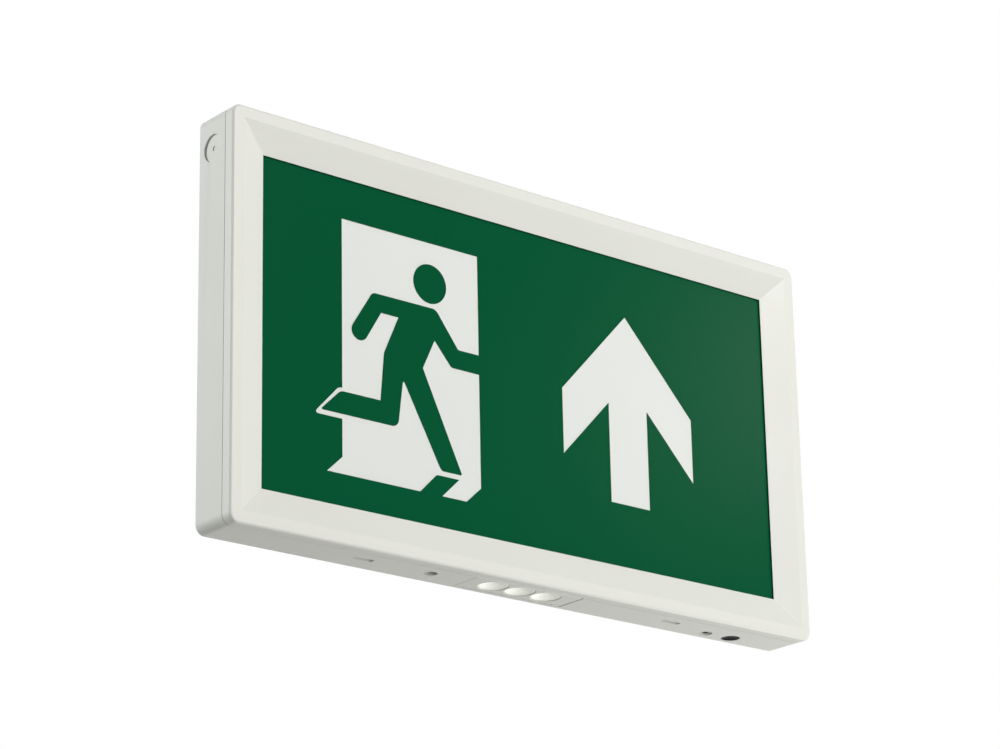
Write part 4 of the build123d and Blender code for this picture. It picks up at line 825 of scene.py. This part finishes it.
# Capacitors standing on the board, with a crimp near the board and a bare end in a turned-in sleeve
def canProfile(radius, height):
    return [(0, 0.35), (0.6 * radius, 0.35), (0.62 * radius, 0), (radius - 0.45, 0), (radius - 0.12, 0.15),
            (radius, 0.5), (radius, 1.3), (radius - 0.35, 1.6), (radius - 0.35, 1.9), (radius, 2.2),
            (radius, height - 0.7), (radius - 0.12, height - 0.25), (radius - 0.5, height), (radius - 1.0, height),
            (radius - 1.05, height - 0.18), (0.25 * radius, height - 0.22), (0, height - 0.22)]


for nodeName, pieceName in (("input_capacitor", "input_can"), ("output_capacitor", "output_can")):
    place, size = seatOf(nodeName, "y", "high")
    turnedPiece(pieceName, nodeName, canProfile(size[0] / 2, size[1]), place, "front",
                [(size[1] - 0.23, size[1] - 0.1)])

# Glass fuse with its two metal caps
capLength = 2.3
place, size = seatOf("fuse", "x", "low")
fuseLength = size[0]
fuseEnd = [(0, 0), (1.75, 0), (1.95, 0.1), (2.0, 0.35), (2.0, capLength - 0.1), (1.9, capLength),
           (1.7, capLength + 0.1)]
turnedPiece("capped_fuse", "fuse", bothEnds(fuseEnd, fuseLength), place, "right",
            [(-0.1, capLength), (fuseLength - capLength, fuseLength + 0.1)])

# Battery of three cells in one shrunk sleeve, which draws in between the cells
cellSetup = {"cells": 3, "waist": 0.3, "waistLength": 1.6, "shoulder": 0.9}
place, size = seatOf("battery_pack", "x", "low")
packLength, packRadius = size[0], size[2] / 2
packEnd = [(0, 0), (packRadius - 0.7, 0), (packRadius - 0.2, 0.25), (packRadius, cellSetup["shoulder"])]
reach = cellSetup["waistLength"] / 2
waists = []
for seam in (packLength * count / cellSetup["cells"] for count in range(1, cellSetup["cells"])):
    waists += [(packRadius, seam - reach), (packRadius - 0.2, seam - reach / 2),
               (packRadius - cellSetup["waist"], seam), (packRadius - 0.2, seam + reach / 2),
               (packRadius, seam + reach)]
turnedPiece("cell_sleeve", "battery_pack", bothEnds(packEnd, packLength, waists), place, "right")

# Choke: a drum with a waist, wound with one close layer of wire
drumSetup = {"flange": 1.2, "coreRadius": 2.7, "wireRadius": 0.3}
place, size = seatOf("choke", "y", "high")
drumRadius, drumHeight = size[0] / 2, size[1]
flange, core, wire = drumSetup["flange"], drumSetup["coreRadius"], drumSetup["wireRadius"]
drumEnd = [(0, 0), (drumRadius - 0.2, 0), (drumRadius, 0.2), (drumRadius, flange - 0.15), (drumRadius - 0.15, flange),
           (core, flange)]
turnedPiece("choke_drum", "choke", bothEnds(drumEnd, drumHeight), place, "front")
layerLength = drumHeight - 2 * flange - 2 * wire
winding = treeMesh("chokeWindingShape", closeWinding, {
    "Turns": layerLength / (2 * wire), "Radius": (core + wire) * mm, "Length": layerLength * mm,
    "Wire Radius": wire * mm, "Lift": (flange + wire) * mm})
winding.transform(Matrix.Translation(place) @ facing["front"])
finishPiece(addObject("choke_winding", winding), "choke", angle=60.0)
print("button, indicator, capacitors, fuse, battery and choke made")


def boxesMesh(name, boxes, marks, edge=0.05):
    # Boxes given by their middle and size in millimetres, each with its mark for the second finish
    shape = bmesh.new()
    layer = shape.faces.layers.float.new("secondFinish")
    for (middle, size), value in zip(boxes, marks):
        made = bmesh.ops.create_cube(shape, size=1.0)["verts"]
        bmesh.ops.scale(shape, vec=[part * mm for part in size], verts=made)
        bmesh.ops.translate(shape, vec=[part * mm for part in middle], verts=made)
        for face in {face for corner in made for face in corner.link_faces}:
            face[layer] = value
    bmesh.ops.bevel(shape, geom=shape.edges, offset=edge * mm, segments=2, profile=0.5, affect="EDGES")
    return meshFrom(shape, name)


# Control chip: a moulded body with four leads across it, which step down to the board on each side
chipSetup = {"clearance": 0.1, "bodyInset": 0.9, "leadPitch": 1.27, "leads": 4, "leadWidth": 0.42,
             "leadThickness": 0.2, "barInset": 0.5, "legInset": 0.35, "legShare": 0.45, "legMiddle": 0.25,
             "footLength": 0.4}
low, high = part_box("control_chip")
chipLength, chipHeight, chipWidth = ((high[n] - low[n]) / mm for n in range(3))
gap, legWidth, thickness = chipSetup["clearance"], chipSetup["leadWidth"], chipSetup["leadThickness"]
body = boxesMesh("chipShape", [((chipLength / 2, -chipHeight / 2 - gap / 2, chipWidth / 2),
                                (chipLength, chipHeight - gap, chipWidth - chipSetup["bodyInset"]))], [0.0])
body.transform(Matrix.Translation((low[0], high[1], low[2])))
finishPiece(addObject("chip_body", body), "control_chip", "boardParts")
legPlace, footPlace = chipWidth / 2 - chipSetup["legInset"], chipWidth / 2 - chipSetup["footLength"] / 2
legHeight, legMiddle = chipSetup["legShare"] * chipHeight, -chipSetup["legMiddle"] * chipHeight
leadBoxes = [((0, -legHeight, 0), (legWidth, thickness, chipWidth - chipSetup["barInset"]))]
leadBoxes += [((0, legMiddle, side * legPlace), (legWidth, legHeight, thickness)) for side in (1, -1)]
leadBoxes += [((0, -thickness / 2, side * footPlace), (legWidth, thickness, chipSetup["footLength"]))
              for side in (1, -1)]
firstLead = (low[0] + (chipLength - (chipSetup["leads"] - 1) * chipSetup["leadPitch"]) / 2 * mm, high[1],
             (low[2] + high[2]) / 2)
copiesOf(boxesMesh("chipLeadShape", leadBoxes, [1.0] * len(leadBoxes)), "chip_leads", "control_chip", firstLead,
         (chipSetup["leadPitch"] * mm, 0, 0), chipSetup["leads"], finish="boardParts")

# Chip resistors in rows on the board: a dark body with a tinned cap at each end
boardLow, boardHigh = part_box("driver_board")
resistor = boxesMesh("resistorShape", [((0, -0.225, 0), (1.1, 0.45, 0.8)), ((-0.6, -0.24, 0), (0.4, 0.48, 0.84)),
                                       ((0.6, -0.24, 0), (0.4, 0.48, 0.84))], [0.0, 1.0, 1.0])
rowSetup = {"below": 3.4, "step": 2.7, "rowStep": 2.2}
partRows = {
    "left_parts": {"from": 63.5, "count": 12, "rows": 3, "share": 0.62, "seed": 7},
    "middle_parts": {"from": 107.5, "count": 3, "rows": 2, "share": 0.8, "seed": 11},
    "right_parts": {"from": 124.4, "count": 4, "rows": 2, "share": 0.75, "seed": 5},
}
for pieceName, setup in partRows.items():
    copiesOf(resistor, pieceName, "driver_board",
             (setup["from"] * mm, boardLow[1], boardHigh[2] - rowSetup["below"] * mm), (rowSetup["step"] * mm, 0, 0),
             setup["count"], (0, 0, -rowSetup["rowStep"] * mm), setup["rows"], setup["share"], setup["seed"],
             "boardParts", hides=False)
print("chip and board parts made")

# Leads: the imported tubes, merged so that they shade round
leadNodes = ["live_lead", "neutral_lead", "battery_lead_red", "battery_lead_black", "strip_leads", "strip_links",
             "downlight_leads"]
for nodeName in leadNodes:
    pieceName = nodeName + "_round"
    finishPiece(addObject(pieceName, meshFrom(mergedShape(nodeName), pieceName)), nodeName, angle=50.0)
print("leads made")

# Floor under the light, pale and plain
floorSetup = {"level": -0.95, "size": 4.0, "colour": (0.46, 0.46, 0.455), "drift": (0.44, 0.44, 0.435),
              "cloud": 3.0, "grain": 60.0, "roughness": 0.7, "spread": 0.1}
floorMesh = bpy.data.meshes.new("studioFloor")
reach = floorSetup["size"]
floorMesh.from_pydata(
    [(x, y, floorSetup["level"]) for x, y in ((-reach, -reach), (reach, -reach), (reach, reach), (-reach, reach))],
    [], [(0, 1, 2, 3)])
studioFloor = addObject("studioFloor", floorMesh)
floorMaterial, floorTree, floorShader = newMaterial("floorPaint")
floorGrain = grained(floorTree, floorSetup["colour"], floorSetup["drift"], floorSetup["cloud"], floorSetup["grain"],
                     floorSetup["roughness"], floorSetup["spread"])
feed(floorTree, floorShader, {"Base Color": floorGrain["Colour"], "Roughness": floorGrain["Roughness"]})
floorMesh.materials.append(floorMaterial)
